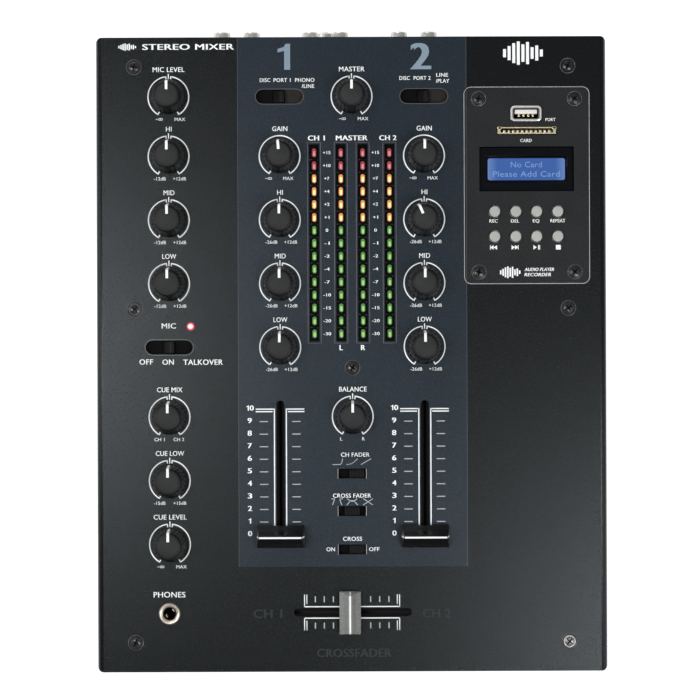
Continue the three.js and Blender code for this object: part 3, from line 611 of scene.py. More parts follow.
class Screws:
    """Cross-recess screws: a low domed head over the surface that it holds."""

    def __init__(self, radius: float = 3.1, rise: float = 0.95) -> None:
        """Turns the head with its rim and groove, cuts the cross into it, and makes a dark piece for the
        floor of the cross, painted shade in the recess."""
        dome = [(0, 0), (radius, 0), (radius, rise * 0.4), (radius * 0.97, rise * 0.5),
                (radius * 0.86, rise * 0.5),
                (radius * 0.83, rise * 0.2), (radius * 0.79, rise * 0.2), (radius * 0.74, rise * 0.72),
                (radius * 0.56, rise * 0.95), (radius * 0.28, rise * 1.04), (0, rise * 1.05)]
        self.head = lathe(dome, 40)
        self.cross = Shape()
        for turn in (45.0, 135.0):
            self.head = carve(self.head, laid(cuboid((0, 0, rise), (radius * 1.16, radius * 0.24,
                                                                    rise * 1.7)), turn))
            self.cross.add(laid(cuboid((0, 0, rise * 0.3), (radius * 1.14, radius * 0.22, rise * 0.4)), turn))
        pit = lathe([(0, rise * 0.2), (radius * 0.1, rise * 0.2), (radius * 0.32, rise * 1.4),
                     (0, rise * 1.4)], 12)
        self.head = carve(self.head, pit)

    def group(self, name: str, places: Sequence[tuple[Matrix, float]], finish: Finish = SCREW,
              well: float = 0.0) -> None:
        """Stamps a row of heads as one piece, each with its own turn in degrees.

        Args:
            name: the piece's name.
            places: where each head stands, and its turn.
            finish: the heads' metal.
            well: radius of the dark disc round each head, painted shade in the countersink, with a pale ring
                at its edge as a painted highlight, or 0 for none.
        """
        shape, cross_shades, shade_rings, edges = Shape(), Shape(), Shape(), Shape()
        for matrix, turn in places:
            turned = matrix @ Matrix.Rotation(math.radians(turn), 4, "Z")
            shape.stamp(self.head, turned)
            cross_shades.stamp(self.cross.bm, turned)
            # Dark disc round the head as painted shade in the countersink, and a pale ring outside it as a
            # painted highlight on its edge.
            if well:
                shade_rings.add(laid(lathe([(0, -0.02), (well, -0.02), (well, 0.05), (0, 0.05)], 40), 0.0, "Z",
                               matrix.translation))
                ring = [(well, -0.02), (well, 0.06), (well + 0.12, 0.1), (well + 0.3, 0.05),
                        (well + 0.3, -0.02)]
                edges.add(laid(lathe(ring, 40, closed=True), 0.0, "Z", matrix.translation))
        shape.piece(name, finish, smooth=40.0)
        # Dark cross floors: painted shade in the recesses.
        cross_shades.piece(name + "_cross_shades", BLACK_LIP_AND_SHADE)
        if well:
            shade_rings.piece(name + "_shade_rings", BLACK_LIP_AND_SHADE)
            edges.piece(name + "_well_highlights", WELL_HIGHLIGHT)


def upward(x: float, y: float, z: float = TOP) -> Matrix:
    """Place of something that stands on a level surface."""
    return Matrix.Translation((x, y, z))


def facing(x: float, y: float, z: float, direction: Spot) -> Matrix:
    """Place of something that stands out of a wall in a direction."""
    return Matrix.Translation((x, y, z)) @ Vector(direction).to_track_quat("Z", "Y").to_matrix().to_4x4()


# ---------------------------------------------------------------- printing


class Align(Enum):
    """Where a word's given X lies in it."""

    LEFT = 0.0
    CENTRE = 0.5
    RIGHT = 1.0


class Print:
    """Marks of one ink on one surface, gathered into one thin piece."""

    def __init__(self, level: float = TOP, thickness: float = 0.05) -> None:
        """Starts an empty print on a level surface."""
        self.shape = Shape()
        self.low, self.high = level - 0.02, level + thickness
        self.level = level

    def word(self, words: str, x: float, y: float, height: float, width: float = 0.0,
             align: Align = Align.CENTRE, bold: float = 0.0, slant: float = 0.0) -> Print:
        """Adds a word.

        Args:
            words: the letters.
            x: its place across, as align says.
            y: the middle of its height.
            height: height of a capital letter.
            width: width of the whole word, or 0 for the letters' own.
            align: which part of the word lies at x.
            bold: how far the strokes are widened to each side, as a share of the letter size.
            slant: lean of the letters.

        Returns:
            The print itself.
        """
        curve = bpy.data.curves.new("word", "FONT")
        curve.body, curve.size, curve.shear = words, 1.0, slant
        curve.resolution_u, curve.fill_mode, curve.space_character = 3, "FRONT", 1.05
        item = bpy.data.objects.new("word", curve)
        bpy.context.scene.collection.objects.link(item)
        flat = bpy.data.meshes.new_from_object(item.evaluated_get(bpy.context.evaluated_depsgraph_get()))
        bpy.data.objects.remove(item)
        bpy.data.curves.remove(curve)
        bm = bmesh.new()
        bm.from_mesh(flat)
        bpy.data.meshes.remove(flat)
        bmesh.ops.remove_doubles(bm, verts=bm.verts[:], dist=1e-5)
        left, right = reach([vert.co.x for vert in bm.verts])
        tall = height / CAPITAL
        wide = width / (right - left) if width else tall
        bmesh.ops.translate(bm, vec=(-left, -CAPITAL / 2, 0), verts=bm.verts[:])
        bmesh.ops.scale(bm, vec=(wide, tall, 1.0), verts=bm.verts[:])
        start = x - align.value * (right - left) * wide
        bmesh.ops.translate(bm, vec=(start, y, self.low), verts=bm.verts[:])
        grown = bmesh.ops.extrude_face_region(bm, geom=bm.faces[:])
        rest = [item for item in grown["geom"] if isinstance(item, bmesh.types.BMVert)]
        bmesh.ops.translate(bm, vec=(0, 0, self.high - self.low), verts=rest)
        bmesh.ops.recalc_face_normals(bm, faces=bm.faces[:])
        if bold:
            self.shape.stamp(bm, Matrix.Translation((bold * wide, 0, 0.004)))
            bmesh.ops.translate(bm, vec=(-bold * wide, 0, 0), verts=bm.verts[:])
        self.shape.add(bm)
        return self

    def bar(self, x: Point, y: Point) -> Print:
        """Adds a straight bar between limits."""
        self.shape.add(slab(x, y, (self.low, self.high)))
        return self

    def stroke(self, points: Sequence[Point], width: float) -> Print:
        """Adds a thin line through some points."""
        for (x1, y1), (x2, y2) in zip(points, points[1:]):
            length = math.hypot(x2 - x1, y2 - y1) + width * 0.7
            line = cuboid((0, 0, 0), (length, width, self.high - self.low))
            middle = ((x1 + x2) / 2, (y1 + y2) / 2, (self.low + self.high) / 2)
            self.shape.add(laid(line, math.degrees(math.atan2(y2 - y1, x2 - x1)), "Z", middle))
        return self

    def arc(self, x: float, y: float, radius: float, width: float, start: float, end: float) -> Print:
        """Adds part of a ring, its angles as the clock turns from the rear."""
        self.shape.add(laid(band(radius, width, start, end, self.low, self.high), 0.0, "Z", (x, y, 0)))
        return self

    def fill(self, outline: Sequence[Point]) -> Print:
        """Adds a filled outline."""
        self.shape.add(prism(outline, self.low, self.high))
        return self

    def one(self, x: float, y: float, height: float) -> Print:
        """Adds a digit one with its flag, x at the middle of its stem."""
        stem, flag, top = height * 0.115, height * 0.37, y + height / 2
        return self.fill([(x - stem, y - height / 2), (x + stem, y - height / 2), (x + stem, top),
                          (x - stem * 0.55, top), (x - stem * 1.1, top - height * 0.12),
                          (x - flag, top - height * 0.2),
                          (x - flag, top - height * 0.335), (x - stem, top - height * 0.27)])

    def endless(self, x: float, y: float, height: float = 1.3) -> Print:
        """Adds the sign for silence: a minus and a lying eight."""
        radius = height * 0.32
        self.bar((x - 1.9, x - 0.9), (y - 0.13, y + 0.13))
        for side in (-1, 1):
            self.arc(x + 0.45 + side * radius, y, radius, 0.26, 0, 360)
        return self

    def piece(self, name: str, finish: Finish, body: str = CASE,
              turn: Matrix | None = None) -> bpy.types.Object:
        """Makes the print a piece, turned onto its surface if it isn't level."""
        if turn is not None:
            bmesh.ops.transform(self.shape.bm, matrix=turn, verts=self.shape.bm.verts[:])
        return self.shape.piece(name, finish, body)


def capital_height() -> float:
    """Height of a capital letter of size 1 in the built-in typeface."""
    curve = bpy.data.curves.new("word", "FONT")
    curve.body, curve.size = "H", 1.0
    item = bpy.data.objects.new("word", curve)
    bpy.context.scene.collection.objects.link(item)
    flat = bpy.data.meshes.new_from_object(item.evaluated_get(bpy.context.evaluated_depsgraph_get()))
    low, high = reach([vert.co.y for vert in flat.vertices])
    bpy.data.objects.remove(item)
    bpy.data.curves.remove(curve)
    bpy.data.meshes.remove(flat)
    return high - low


CAPITAL = capital_height()


# ---------------------------------------------------------------- case


@dataclass
class Case:
    """Pressed lid, base tray, feet and the screws that hold them."""

    lid_edge: float = 0.32
    tray_edge: float = 0.35
    screw_x: float = 108.0
    screw_rows: tuple[float, ...] = (143.3, 22.7, -143.3)
    middle_screw: Point = (0.4, -6.7)
    wall_screws: tuple[float, ...] = (-120.0, 0.0, 120.0)
    foot_nodes: tuple[str, ...] = ("foot_front_left", "foot_front_right", "foot_rear_left", "foot_rear_right")

    def build(self) -> None:
        """Makes every piece of the case."""
        Shape.of_node("top_panel", self.lid_edge).piece("lid", COAT, replaces=["top_panel"])
        Shape.of_node("base_tray", self.tray_edge).piece("tray", TRAY_COAT, replaces=["base_tray"])
        screws = Screws()
        places = [(upward(side * self.screw_x, y), 20.0 + 37.0 * side + y) for side in (-1,
            1) for y in self.screw_rows]
        screws.group("lid_screws", [*places[:-1], (upward(*self.middle_screw), 12.0)], well=3.55)
        # The front right screw takes the paler head: painted reflection.
        screws.group("screw_sheen", places[-1:], SCREW_SHEEN, well=3.55)
        wall = extent("base_tray")[1].x
        small = Screws(radius=2.6, rise=0.9)
        small.group("side_screws", [(facing(side * wall, y, 22.0, (side, 0, 0)), 30.0 + y)
                                    for side in (-1, 1) for y in self.wall_screws])
        rear = extent("base_tray")[1].y
        small.group("rear_screws", [(facing(x, rear, z, (0, 1, 0)), 15.0 + x)
                                    for x, z in ((-118.0, 70.0), (118.0, 74.0), (-75.0, 22.0), (40.0, 22.0))])
        for node in self.foot_nodes:
            self.foot(node)

    def foot(self, node: str) -> None:
        """Turned rubber foot with a screw in its recess."""
        x, y = plan(node)
        profile = [(0, 4), (3.7, 4), (4, 3.8), (4, 0.5), (4.4, 0), (8.6, 0), (9.5, 0.5), (9.9, 1.4),
                   (10.7, 6.6),
                   (11, 7.2), (11, 8.8), (10.8, 9), (0, 9)]
        Shape(laid(lathe(profile, 64), 0.0, "Z", (x, y, 0))).piece(node + "_rubber", RUBBER, replaces=[node])
        head = Screws(radius=3.2, rise=1.2)
        head.group(node + "_screw", [(facing(x, y, 4.0, (0, 0, -1)), x)], TIN)


# ---------------------------------------------------------------- knobs


@dataclass
class Knob:
    """Ribbed knob with a smooth end disc and a white pointer that runs down its side."""

    node: str
    turn: float = 0.0
    ridges: int = 22
    steps: int = 132
    low: float = TOP + 0.7
    top: float = 14.8
    flute: float = 0.42

    def profile(self) -> list[Point]:
        """Radius and height over the knob's foot, from the axis to the axis."""
        return [(0, 0.6), (6.9, 0.6), (7.1, 0), (8.45, 0), (8.7, 0.3), (8.66, 1.5), (8.4, 1.95), (8.22, 2.4),
                (8.1, 3.2), (6.92, 13.0), (6.72, 13.8), (6.48, 14.35), (6.2, 14.66), (5.95, self.top),
                (5.6, self.top), (5.45, self.top - 0.2), (0, self.top - 0.2)]

    def body(self) -> bmesh.types.BMesh:
        """Turned body with flutes pressed into its side."""
        bm = lathe(self.profile(), self.steps)
        for vert in bm.verts:
            radius = vert.co.xy.length
            if radius > 6.3 and vert.co.z > 2.3:
                wave = 0.5 - 0.5 * math.cos(self.ridges * math.atan2(vert.co.x, vert.co.y))
                fade = min(1.0, (14.5 - vert.co.z) / 1.6, (vert.co.z - 2.2) / 0.6)
                vert.co.xy *= 1 - self.flute * wave ** 1.6 * max(0.0, fade) / radius
        return bm

    def pointer(self) -> bmesh.types.BMesh:
        """White strip across the end disc and down the side."""
        path = [(2.3, self.top - 0.05), (5.4, self.top - 0.05), (5.6, self.top + 0.02),
                (5.97, self.top + 0.02),
                (6.24, 14.7), (6.54, 14.38), (6.78, 13.82), (6.97, 13.0), (7.6, 7.6), (8.0, 4.1)]
        bm = bmesh.new()
        spine = [bm.verts.new((0, y, z)) for y, z in path]
        edges = [bm.edges.new(pair) for pair in zip(spine, spine[1:])]
        bmesh.ops.translate(bm, vec=(-0.64, 0, 0), verts=bm.verts[:])
        grown = bmesh.ops.extrude_edge_only(bm, edges=edges)
        side = [item for item in grown["geom"] if isinstance(item, bmesh.types.BMVert)]
        bmesh.ops.translate(bm, vec=(1.28, 0, 0), verts=side)
        bmesh.ops.recalc_face_normals(bm, faces=bm.faces[:])
        if sum((face.normal.z for face in bm.faces)) < 0:
            bmesh.ops.reverse_faces(bm, faces=bm.faces[:])
        bmesh.ops.solidify(bm, geom=bm.faces[:], thickness=0.07)
        bmesh.ops.recalc_face_normals(bm, faces=bm.faces[:])
        return bm

    def build(self) -> None:
        """Makes the body, its end disc, its pointer and the nut under it."""
        x, y = plan(self.node)
        place = (x, y, self.low)
        Shape(laid(self.body(), self.turn, "Z", place)).piece(
            self.node + "_grip", KNOB_BLACK, self.node, [self.node], smooth=50.0)
        disc = lathe([(0, self.top - 0.3), (5.3, self.top - 0.3), (5.3, self.top - 0.18),
                      (5.2, self.top - 0.115),
                      (0, self.top - 0.115)], 64)
        Shape(laid(disc, 0.0, "Z", place)).piece(self.node + "_disc", KNOB_DISC, self.node)
        Shape(laid(self.pointer(), self.turn, "Z", place)).piece(self.node + "_pointer", INK, self.node)
        shaft = lathe([(0, -2.4), (3, -2.4), (3, 0.7), (0, 0.7)], 24)
        Shape(laid(shaft, 0.0, "Z", place)).piece(self.node + "_shaft", TIN, self.node)


# ---------------------------------------------------------------- faders


@dataclass
class FaderCap:
    """Fader cap: a ridge over two hollow flanks, with a white line over ridge and ends."""

    node: str
    length: float
    width: float
    finish: Finish
    across: bool = False
    ridge: float = 0.95
    line: float = 0.42
    low: float = TOP + 1.2
    height: float = 11.8
    taper: float = 1.1

    def flank(self) -> list[Point]:
        """Half of the section, from the foot up to the ridge."""
        half = self.width / 2
        return [(half, 0), (half, 2.9), (half - 0.45, 3.7), (half * 0.66, 5.1), (half * 0.47, 7.0),
                (half * 0.33, 9.2), (self.ridge, 11.3), (self.ridge - 0.3, self.height)]

    def cap(self) -> bmesh.types.BMesh:
        """Section carried along the length, its ends leaning in."""
        side = self.flank()
        section = side + [(-y, z) for y, z in reversed(side)]
        bm = laid(prism(section, -self.length / 2, self.length / 2), 90.0, "X")
        bmesh.ops.rotate(bm, cent=(0, 0, 0), matrix=Matrix.Rotation(math.radians(90), 3, "Z"),
                         verts=bm.verts[:])
        for vert in bm.verts:
            lean = self.taper * (max(0.0, vert.co.z - 2.9) / (self.height - 2.9)) ** 0.8
            vert.co.x -= math.copysign(lean, vert.co.x)
        soften(bm, 0.28, 2, 38.0)
        return bm

    def mark(self) -> bmesh.types.BMesh:
        """Line along the ridge and down both ends."""
        half = self.length / 2
        down = [(half + 0.02, 2.9), (half - self.taper * 0.5 + 0.02, 6.8),
                (half - self.taper + 0.02, self.height - 0.35),
                (half - self.taper - 0.3, self.height + 0.03)]
        path = [(-x, z) for x, z in down] + list(reversed(down))
        bm = bmesh.new()
        spine = [bm.verts.new((x, -self.line, z)) for x, z in path]
        edges = [bm.edges.new(pair) for pair in zip(spine, spine[1:])]
        grown = bmesh.ops.extrude_edge_only(bm, edges=edges)
        side = [item for item in grown["geom"] if isinstance(item, bmesh.types.BMVert)]
        bmesh.ops.translate(bm, vec=(0, 2 * self.line, 0), verts=side)
        bmesh.ops.recalc_face_normals(bm, faces=bm.faces[:])
        if sum((face.normal.z for face in bm.faces)) < 0:
            bmesh.ops.reverse_faces(bm, faces=bm.faces[:])
        bmesh.ops.solidify(bm, geom=bm.faces[:], thickness=0.08)
        bmesh.ops.recalc_face_normals(bm, faces=bm.faces[:])
        return bm

    def build(self) -> None:
        """Makes the cap, its line and its lever."""
        x, y = plan(self.node)
        turn = 90.0 if self.across else 0.0
        place = (x, y, self.low)
        Shape(laid(self.cap(), turn, "Z", place)).piece(self.node + "_body", self.finish, self.node,
                                                        [self.node])
        Shape(laid(self.mark(), turn, "Z", place)).piece(self.node + "_line", INK, self.node)
        bottom = extent(self.node)[0].z
        lever = cuboid((0, 0, (bottom - self.low + 1.5) / 2), (1.2, 4.0, self.low + 1.5 - bottom), 0.0, 0.12)
        Shape(laid(lever, turn, "Z", place)).piece(self.node + "_lever", TIN, self.node)


@dataclass
class Slots:
    """Dust lips under the three fader slots and the fader housings below them."""

    lip: float = 1.5
    gap: float = 0.78

    def build(self) -> None:
        """Makes the lips and dresses the housings."""
        for node, across in (("fader_ch1_body", False), ("fader_ch2_body", False), ("crossfader_body", True)):
            low, high = extent(node)
            x, y = plan(node)
            length = (high.x - low.x if across else high.y - low.y) / 2 - 6.0
            shape = Shape()
            for side in (-1, 1):
                strip = slab((side * self.gap, side * (self.gap + self.lip)), (-length, length),
                             (90.2, 90.42))
                shape.add(laid(strip, 90.0 if across else 0.0, "Z", (x, y, 0)))
            shape.piece(node.replace("_body", "_dust_lips"), BLACK_LIP_AND_SHADE)
            dress(node, PLASTIC)


# ---------------------------------------------------------------- switches


@dataclass
class Selector:
    """Three-way slide switch: black shutter, a lever with a hollow thumb rest, and a strip right of the lever
    that carries painted light on that side of the opening.
    """

    node: str
    # Finish of the strip right of the lever: painted light there; the microphone switch keeps it black.
    strip: Finish = SHUTTER_SHEEN
    opening: Point = (23.8, 7.3)
    edge: float = 0.3

    def build(self) -> None:
        """Makes the shutter, the painted-light strip right of the lever, and the lever."""
        low, high = extent(self.node)
        x, y = plan(self.node)
        plate = slab((low.x, high.x), (low.y, high.y), (low.z, low.z + 0.6), 0.6, 0.1)
        Shape(plate).piece(self.node + "_shutter", BLACK_LIP_AND_SHADE, self.node, [self.node])
        # Paler strip on the right of the lever only: painted light falling on that side of the opening.
        strip = slab((x + 2.7, high.x - 0.3), (low.y + 0.3, high.y - 0.3), (low.z + 0.5, low.z + 0.72), 0.3)
        Shape(strip).piece(self.node + "_sheen_strip", self.strip, self.node)
        top = high.z
        blank = slab((x - 2.5, x + 2.5), (y - 2.8, y + 2.8), (low.z + 0.5, top), 0.5, 0.25)
        rest = laid(lathe([(0, -4), (5.2, -4), (5.2, 4), (0, 4)], 48), 90.0, "X", (x, y, top + 4.75))
        lever = carve(blank, rest)
        for step in (-1.7, 1.7):
            lever = carve(lever, slab((x + step - 0.2, x + step + 0.2), (y - 4, y + 4), (top - 0.45,
                top + 1)))
        Shape(lever).piece(self.node + "_lever", LEVER, self.node)
        self.rim(x, y)

    def rim(self, x: float, y: float) -> None:
        """Pale ring at the lid's cut edge round the opening, coloured lighter than the coat as a painted
        highlight on that edge.
        """
        across, along = self.opening[0] / 2, self.opening[1] / 2
        outer = slab((x - across - self.edge, x + across + self.edge),
                     (y - along - self.edge, y + along + self.edge),
                     (TOP - 0.6, TOP + 0.03), along + self.edge - 0.05)
        inner = slab((x - across + 0.05, x + across - 0.05), (y - along + 0.05, y + along - 0.05),
                     (TOP - 1, TOP + 1), along - 0.1)
        Shape(carve(outer, inner)).piece(self.node + "_opening_highlight", WELL_HIGHLIGHT)


@dataclass
class SlideSwitch:
    """Small curve switch with a ribbed slider."""

    node: str
    width: float = 7.6
    ribs: int = 6

    def build(self) -> None:
        """Makes the shutter and the ribbed slider."""
        low, high = extent(self.node)
        x, y = plan(self.node)
        plate = slab((low.x, high.x), (low.y, high.y), (low.z, low.z + 0.6), 0.3, 0.08)
        Shape(plate).piece(self.node + "_shutter", BLACK_LIP_AND_SHADE, self.node, [self.node])
        half = self.width / 2
        shape = Shape(slab((x - half, x + half), (y - 2.15, y + 2.15), (low.z + 0.5, high.z - 0.55), 0.25,
                           0.1))
        pitch = self.width / self.ribs
        for rib in range(self.ribs):
            centre = x - half + (rib + 0.5) * pitch
            shape.add(slab((centre - 0.36, centre + 0.36), (y - 2.15, y + 2.15), (high.z - 0.7, high.z), 0.0,
                           0.16))
        shape.piece(self.node + "_slider", LEVER, self.node)


# ---------------------------------------------------------------- light columns


class Lamp(Enum):
    """Colours of the lamps, each with its lens and the bright heart behind it."""

    RED = ("red", RED_LENS, RED_HEART)
    AMBER = ("amber", AMBER_LENS, AMBER_HEART)
    GREEN = ("green", GREEN_LENS, GREEN_HEART)


@dataclass
class LevelMeters:
    """Four columns of fifteen lamps in their carrier, seen through windows in the lid."""

    columns: tuple[float, ...] = (-18.4, -5.1, 5.8, 19.1)
    first: float = 100.4
    pitch: float = 6.44
    lamps: tuple[Lamp, ...] = (Lamp.RED,) * 2 + (Lamp.AMBER,) * 4 + (Lamp.GREEN,) * 9
    window: Point = (6.4, 104.6)
    carrier_top: float = 90.1
    frame_x: float = 3.25

    def build(self) -> None:
        """Makes the carrier, the lamps and the thin pale lines round the windows, a painted highlight on the
        window edges.
        """
        low, high = extent("meter_block")
        carrier = Shape(slab((low.x, high.x), (low.y, high.y), (low.z, self.carrier_top), 0.8, 0.3))
        for x in self.columns:
            for step in range(len(self.lamps) - 1):
                y = self.first - (step + 0.5) * self.pitch
                carrier.add(slab((x - 2.2, x + 2.2), (y - 0.5, y + 0.5), (self.carrier_top - 0.2, 90.9), 0.0,
                                 0.12))
        carrier.piece("meter_carrier", CARRIER, replaces=["meter_block"])
        for lamp in Lamp:
            word, lens, heart = lamp.value
            lenses, hearts = Shape(), Shape()
            for x in self.columns:
                for step, kind in enumerate(self.lamps):
                    if kind is lamp:
                        y = self.first - step * self.pitch
                        lenses.add(cuboid((x, y, 90.65), (2.15, 4.3, 1.5), 1.0, 0.3, 4))
                        hearts.add(cuboid((x + 0.1, y - 0.4, 91.2), (1.2, 2.6, 0.5), 0.55, 0.12, 3))
            lenses.piece(f"meter_lamps_{word}", lens)
            hearts.piece(f"meter_hearts_{word}", heart)
        # Thin pale bars round each window: painted highlight where the window edges catch the light.
        rims = Print(thickness=0.03)
        for x in self.columns:
            for side in (-1, 1):
                rims.bar((x + side * self.frame_x - 0.13, x + side * self.frame_x + 0.13),
                         (self.window[0] - 0.9, self.window[1] + 0.9))
            for y in (self.window[0] - 0.9, self.window[1] + 0.9):
                rims.bar((x - self.frame_x, x + self.frame_x), (y - 0.13, y + 0.13))
        rims.piece("meter_rim_highlights", RIM_HIGHLIGHT)


@dataclass
class MicLamp:
    """Round red lamp beside the microphone switch, over its block on the control board."""

    x: float = -80.2
    y: float = 14.1
    low: float = 88.6
    top: float = TOP + 0.42

    def build(self) -> None:
        """Makes the lens and its bright middle."""
        profile = [(0, self.low), (2.0, self.low), (2.0, 89.2), (1.66, 89.3), (1.66, self.top - 0.8),
                   (1.45, self.top - 0.25), (0.9, self.top), (0, self.top + 0.05)]
        Shape(laid(lathe(profile, 32), 0.0, "Z", (self.x, self.y, 0))).piece("mic_lamp_lens", LAMP_LENS)
        core = lathe([(0, self.top - 0.2), (1.15, self.top - 0.3), (1.05, self.top + 0.02),
                      (0, self.top + 0.12)], 24)
        Shape(laid(core, 0.0, "Z", (self.x, self.y, 0))).piece("mic_lamp_core", LAMP_CORE)


@dataclass
class PhonesJack:
    """Headphone socket: nickel bush with a dark bore, a washer and the contact spring."""

    bush: str = "phones_bush"
    node: str = "phones_jack"
    body_half: float = 8.0

    def build(self) -> None:
        """Makes the bush, the washer, the lining, the springs and the body below."""
        x, y = plan(self.node)
        low, top = extent(self.node)[0], extent(self.bush)[1].z
        at = (x, y, 0.0)
        bush = lathe([(3.3, 90.2), (3.3, top - 1.1), (3.9, top - 0.25), (4.3, top), (4.8, top),
                      (5.25, top - 0.45), (5.3, top - 0.9), (5.3, 90.2)], 64, closed=True)
        Shape(laid(bush, 0.0, "Z", at)).piece("phones_ring", NICKEL, replaces=[self.bush])
        washer = lathe([(5.32, TOP - 0.4), (5.32, TOP + 0.35), (5.9, TOP + 0.35), (6.05, TOP + 0.2),
                        (6.05, TOP - 0.4)],
                       64, closed=True)
        Shape(laid(washer, 0.0, "Z", at)).piece("phones_washer", PLASTIC)
        lining = lathe([(3.28, low.z + 1.5), (3.28, top - 1.6), (3.1, top - 1.5), (2.95, top - 2.2),
                        (2.95, low.z + 1.5)], 48, closed=True)
        Shape(laid(lining, 0.0, "Z", at)).piece("phones_lining", PLASTIC)
        springs = Shape()
        for turn in (40.0, 220.0):
            springs.add(laid(slab((2.0, 2.4), (-0.8, 0.8), (top - 12, top - 4), 0.0, 0.1), turn, "Z", at))
        springs.piece("phones_springs", GOLD_TIN)
        block = slab((-self.body_half, self.body_half), (-self.body_half, self.body_half), (low.z, 90.1), 0.6,
                     0.3)
        bore = lathe([(0, low.z + 1.5), (3.2, low.z + 1.5), (3.2, 95), (0, 95)], 32)
        Shape(laid(carve(block, bore), 0.0, "Z", at)).piece("phones_body", PLASTIC, replaces=[self.node])


# ---------------------------------------------------------------- player


@dataclass
class Player:
    """Player module: plate, sockets, screen and buttons."""

    screw_x: float = 23.9
    screw_y: tuple[float, ...] = (127.0, 40.65)
    contacts: int = 11
    button_rows: tuple[str, ...] = ("record", "delete", "equaliser", "repeat", "previous", "next", "play",
                                    "stop")
    level: float = field(default_factory=lambda: extent("player_plate")[1].z)

    def build(self) -> None:
        """Makes every piece of the player."""
        Shape.of_node("player_plate", 0.38, segments=3).piece("player_face", PLATE, replaces=["player_plate"])
        middle = plan("player_plate")[0]
        places = [(upward(middle + side * self.screw_x, y, self.level), 25.0 + side * 30 + y)
                  for side in (-1, 1) for y in self.screw_y]
        Screws(radius=3.0, rise=0.6).group("player_screws", places, well=3.4)
        self.rim()
        self.stick_socket()
        self.card_socket()
        self.screen()
        for name in self.button_rows:
            self.button("button_" + name)
        dress("player_board", BOARD)

    def rim(self, width: float = 0.32, corner: float = 3.2) -> None:
        """Pale ring at the lid's cut edge round the plate, coloured lighter than the coat as a painted
        highlight on that edge.
        """
        low, high = extent("player_plate")
        x, y, z = (low.x - width, high.x + width), (low.y - width, high.y + width), (TOP - 0.4, TOP + 0.03)
        hole = slab((low.x, high.x), (low.y, high.y), (TOP - 1, TOP + 1), corner)
        Shape(carve(slab(x, y, z, corner + width), hole)).piece("player_rim_highlight", EDGE_HIGHLIGHT)

    def stick_socket(self) -> None:
        """Socket for a memory stick: folded shell, pale tongue and four contacts."""
        low, high = extent("stick_socket")
        x, y = plan("stick_socket")
        lip = slab((low.x, high.x), (low.y, high.y), (high.z - 0.85, high.z), 1.9, 0.2)
        shell = Shape(carve(lip, slab((x - 6.75, x + 6.75), (y - 2.95, y + 2.95), (high.z - 3, high.z + 1),
                                      1.2)))
        tube = slab((x - 6.6, x + 6.6), (y - 2.9, y + 2.9), (low.z, high.z - 0.6), 0.9)
        shell.piece("stick_shell", SHELL, replaces=["stick_socket"])
        hollow = slab((x - 6.2, x + 6.2), (y - 2.5, y + 2.5), (low.z + 1.5, high.z + 1), 0.7)
        Shape(carve(tube, hollow)).piece("stick_tube", CORE)
        tongue = slab((x - 5.5, x + 5.5), (y - 0.1, y + 2.0), (low.z + 1.0, high.z - 1.0), 0.2, 0.15)
        Shape(tongue).piece("stick_tongue", WHITE_PLASTIC)
        lining = slab((x - 6.15, x + 6.15), (y - 2.45, y + 2.45), (low.z + 1.2, low.z + 6.5), 0.3)
        Shape(lining).piece("stick_lining", BLACK_LIP_AND_SHADE)
        pads = Shape()
        for step in (-3.5, -1.2, 1.2, 3.5):
            pads.add(slab((x + step - 0.5, x + step + 0.5), (y - 1.5, y - 0.1), (low.z + 2, high.z - 1.6),
                          0.0, 0.1))
        pads.piece("stick_contacts", GOLD_TIN)

    def card_socket(self) -> None:
        """Card slot with a folded rim and a row of contacts."""
        low, high = extent("card_socket")
        x, y = plan("card_socket")
        tube = slab((low.x, high.x), (low.y, high.y), (low.z, high.z), 0.3, 0.12)
        slot = slab((low.x + 1.4, high.x - 1.4), (low.y + 0.55, high.y - 0.55), (high.z - 19, high.z + 1))
        shape = Shape(carve(tube, slot))
        for side in (-1, 1):
            shape.add(slab((x + side * 12.6, x + side * 14.7), (y + 0.7, y + 1.9), (high.z - 0.5, high.z),
                           0.2, 0.1))
        shape.piece("card_rim", GOLD_TIN, replaces=["card_socket"])
        teeth = Shape()
        pitch = (high.x - low.x - 4.4) / self.contacts
        for step in range(self.contacts):
            centre = low.x + 2.2 + (step + 0.5) * pitch
            teeth.add(slab((centre - 0.62, centre + 0.62), (y - 1.15, y + 0.25), (high.z - 14, high.z - 0.7),
                           0.0, 0.12))
        teeth.piece("card_contacts", GOLD_TIN)

    def screen(self) -> None:
        """Screen module, lit display and its message."""
        Shape.of_node("screen_module", 0.15).piece("screen_frame", SMOKED, replaces=["screen_module"])
        low, high = extent("screen_glass")
        x, y = plan("screen_glass")
        half_x, half_y = 19.25, 5.45
        Shape(slab((low.x, high.x), (low.y, high.y), (low.z, high.z - 0.1), 0.9, 0.1)).piece(
            "screen_surround", SMOKED, replaces=["screen_glass"])
        Shape(slab((x - half_x, x + half_x), (y - half_y, y + half_y), (high.z - 0.3, high.z), 1.1,
                   0.08)).piece(
            "screen_display", SCREEN)
        message = Print(high.z, 0.04)
        message.word("No Card", x, y + 2.35, 2.75, 15.6).word("Please Add Card", x, y - 2.35, 2.75, 33.4)
        message.piece("screen_message", SCREEN_INK)

    def button(self, node: str) -> None:
        """Turned button with a gently domed end."""
        x, y = plan(node)
        low, high = extent(node)
        profile = [(0, low.z), (1.8, low.z), (1.8, 88.5), (3.8, 88.5), (3.8, 89.5), (2.68, 89.6),
                   (2.68, high.z - 0.4),
                   (2.5, high.z - 0.12), (2.1, high.z), (0, high.z + 0.06)]
        Shape(laid(lathe(profile, 40), 0.0, "Z", (x, y, 0))).piece(node + "_cap", BUTTON, node, [node])


# ---------------------------------------------------------------- rear


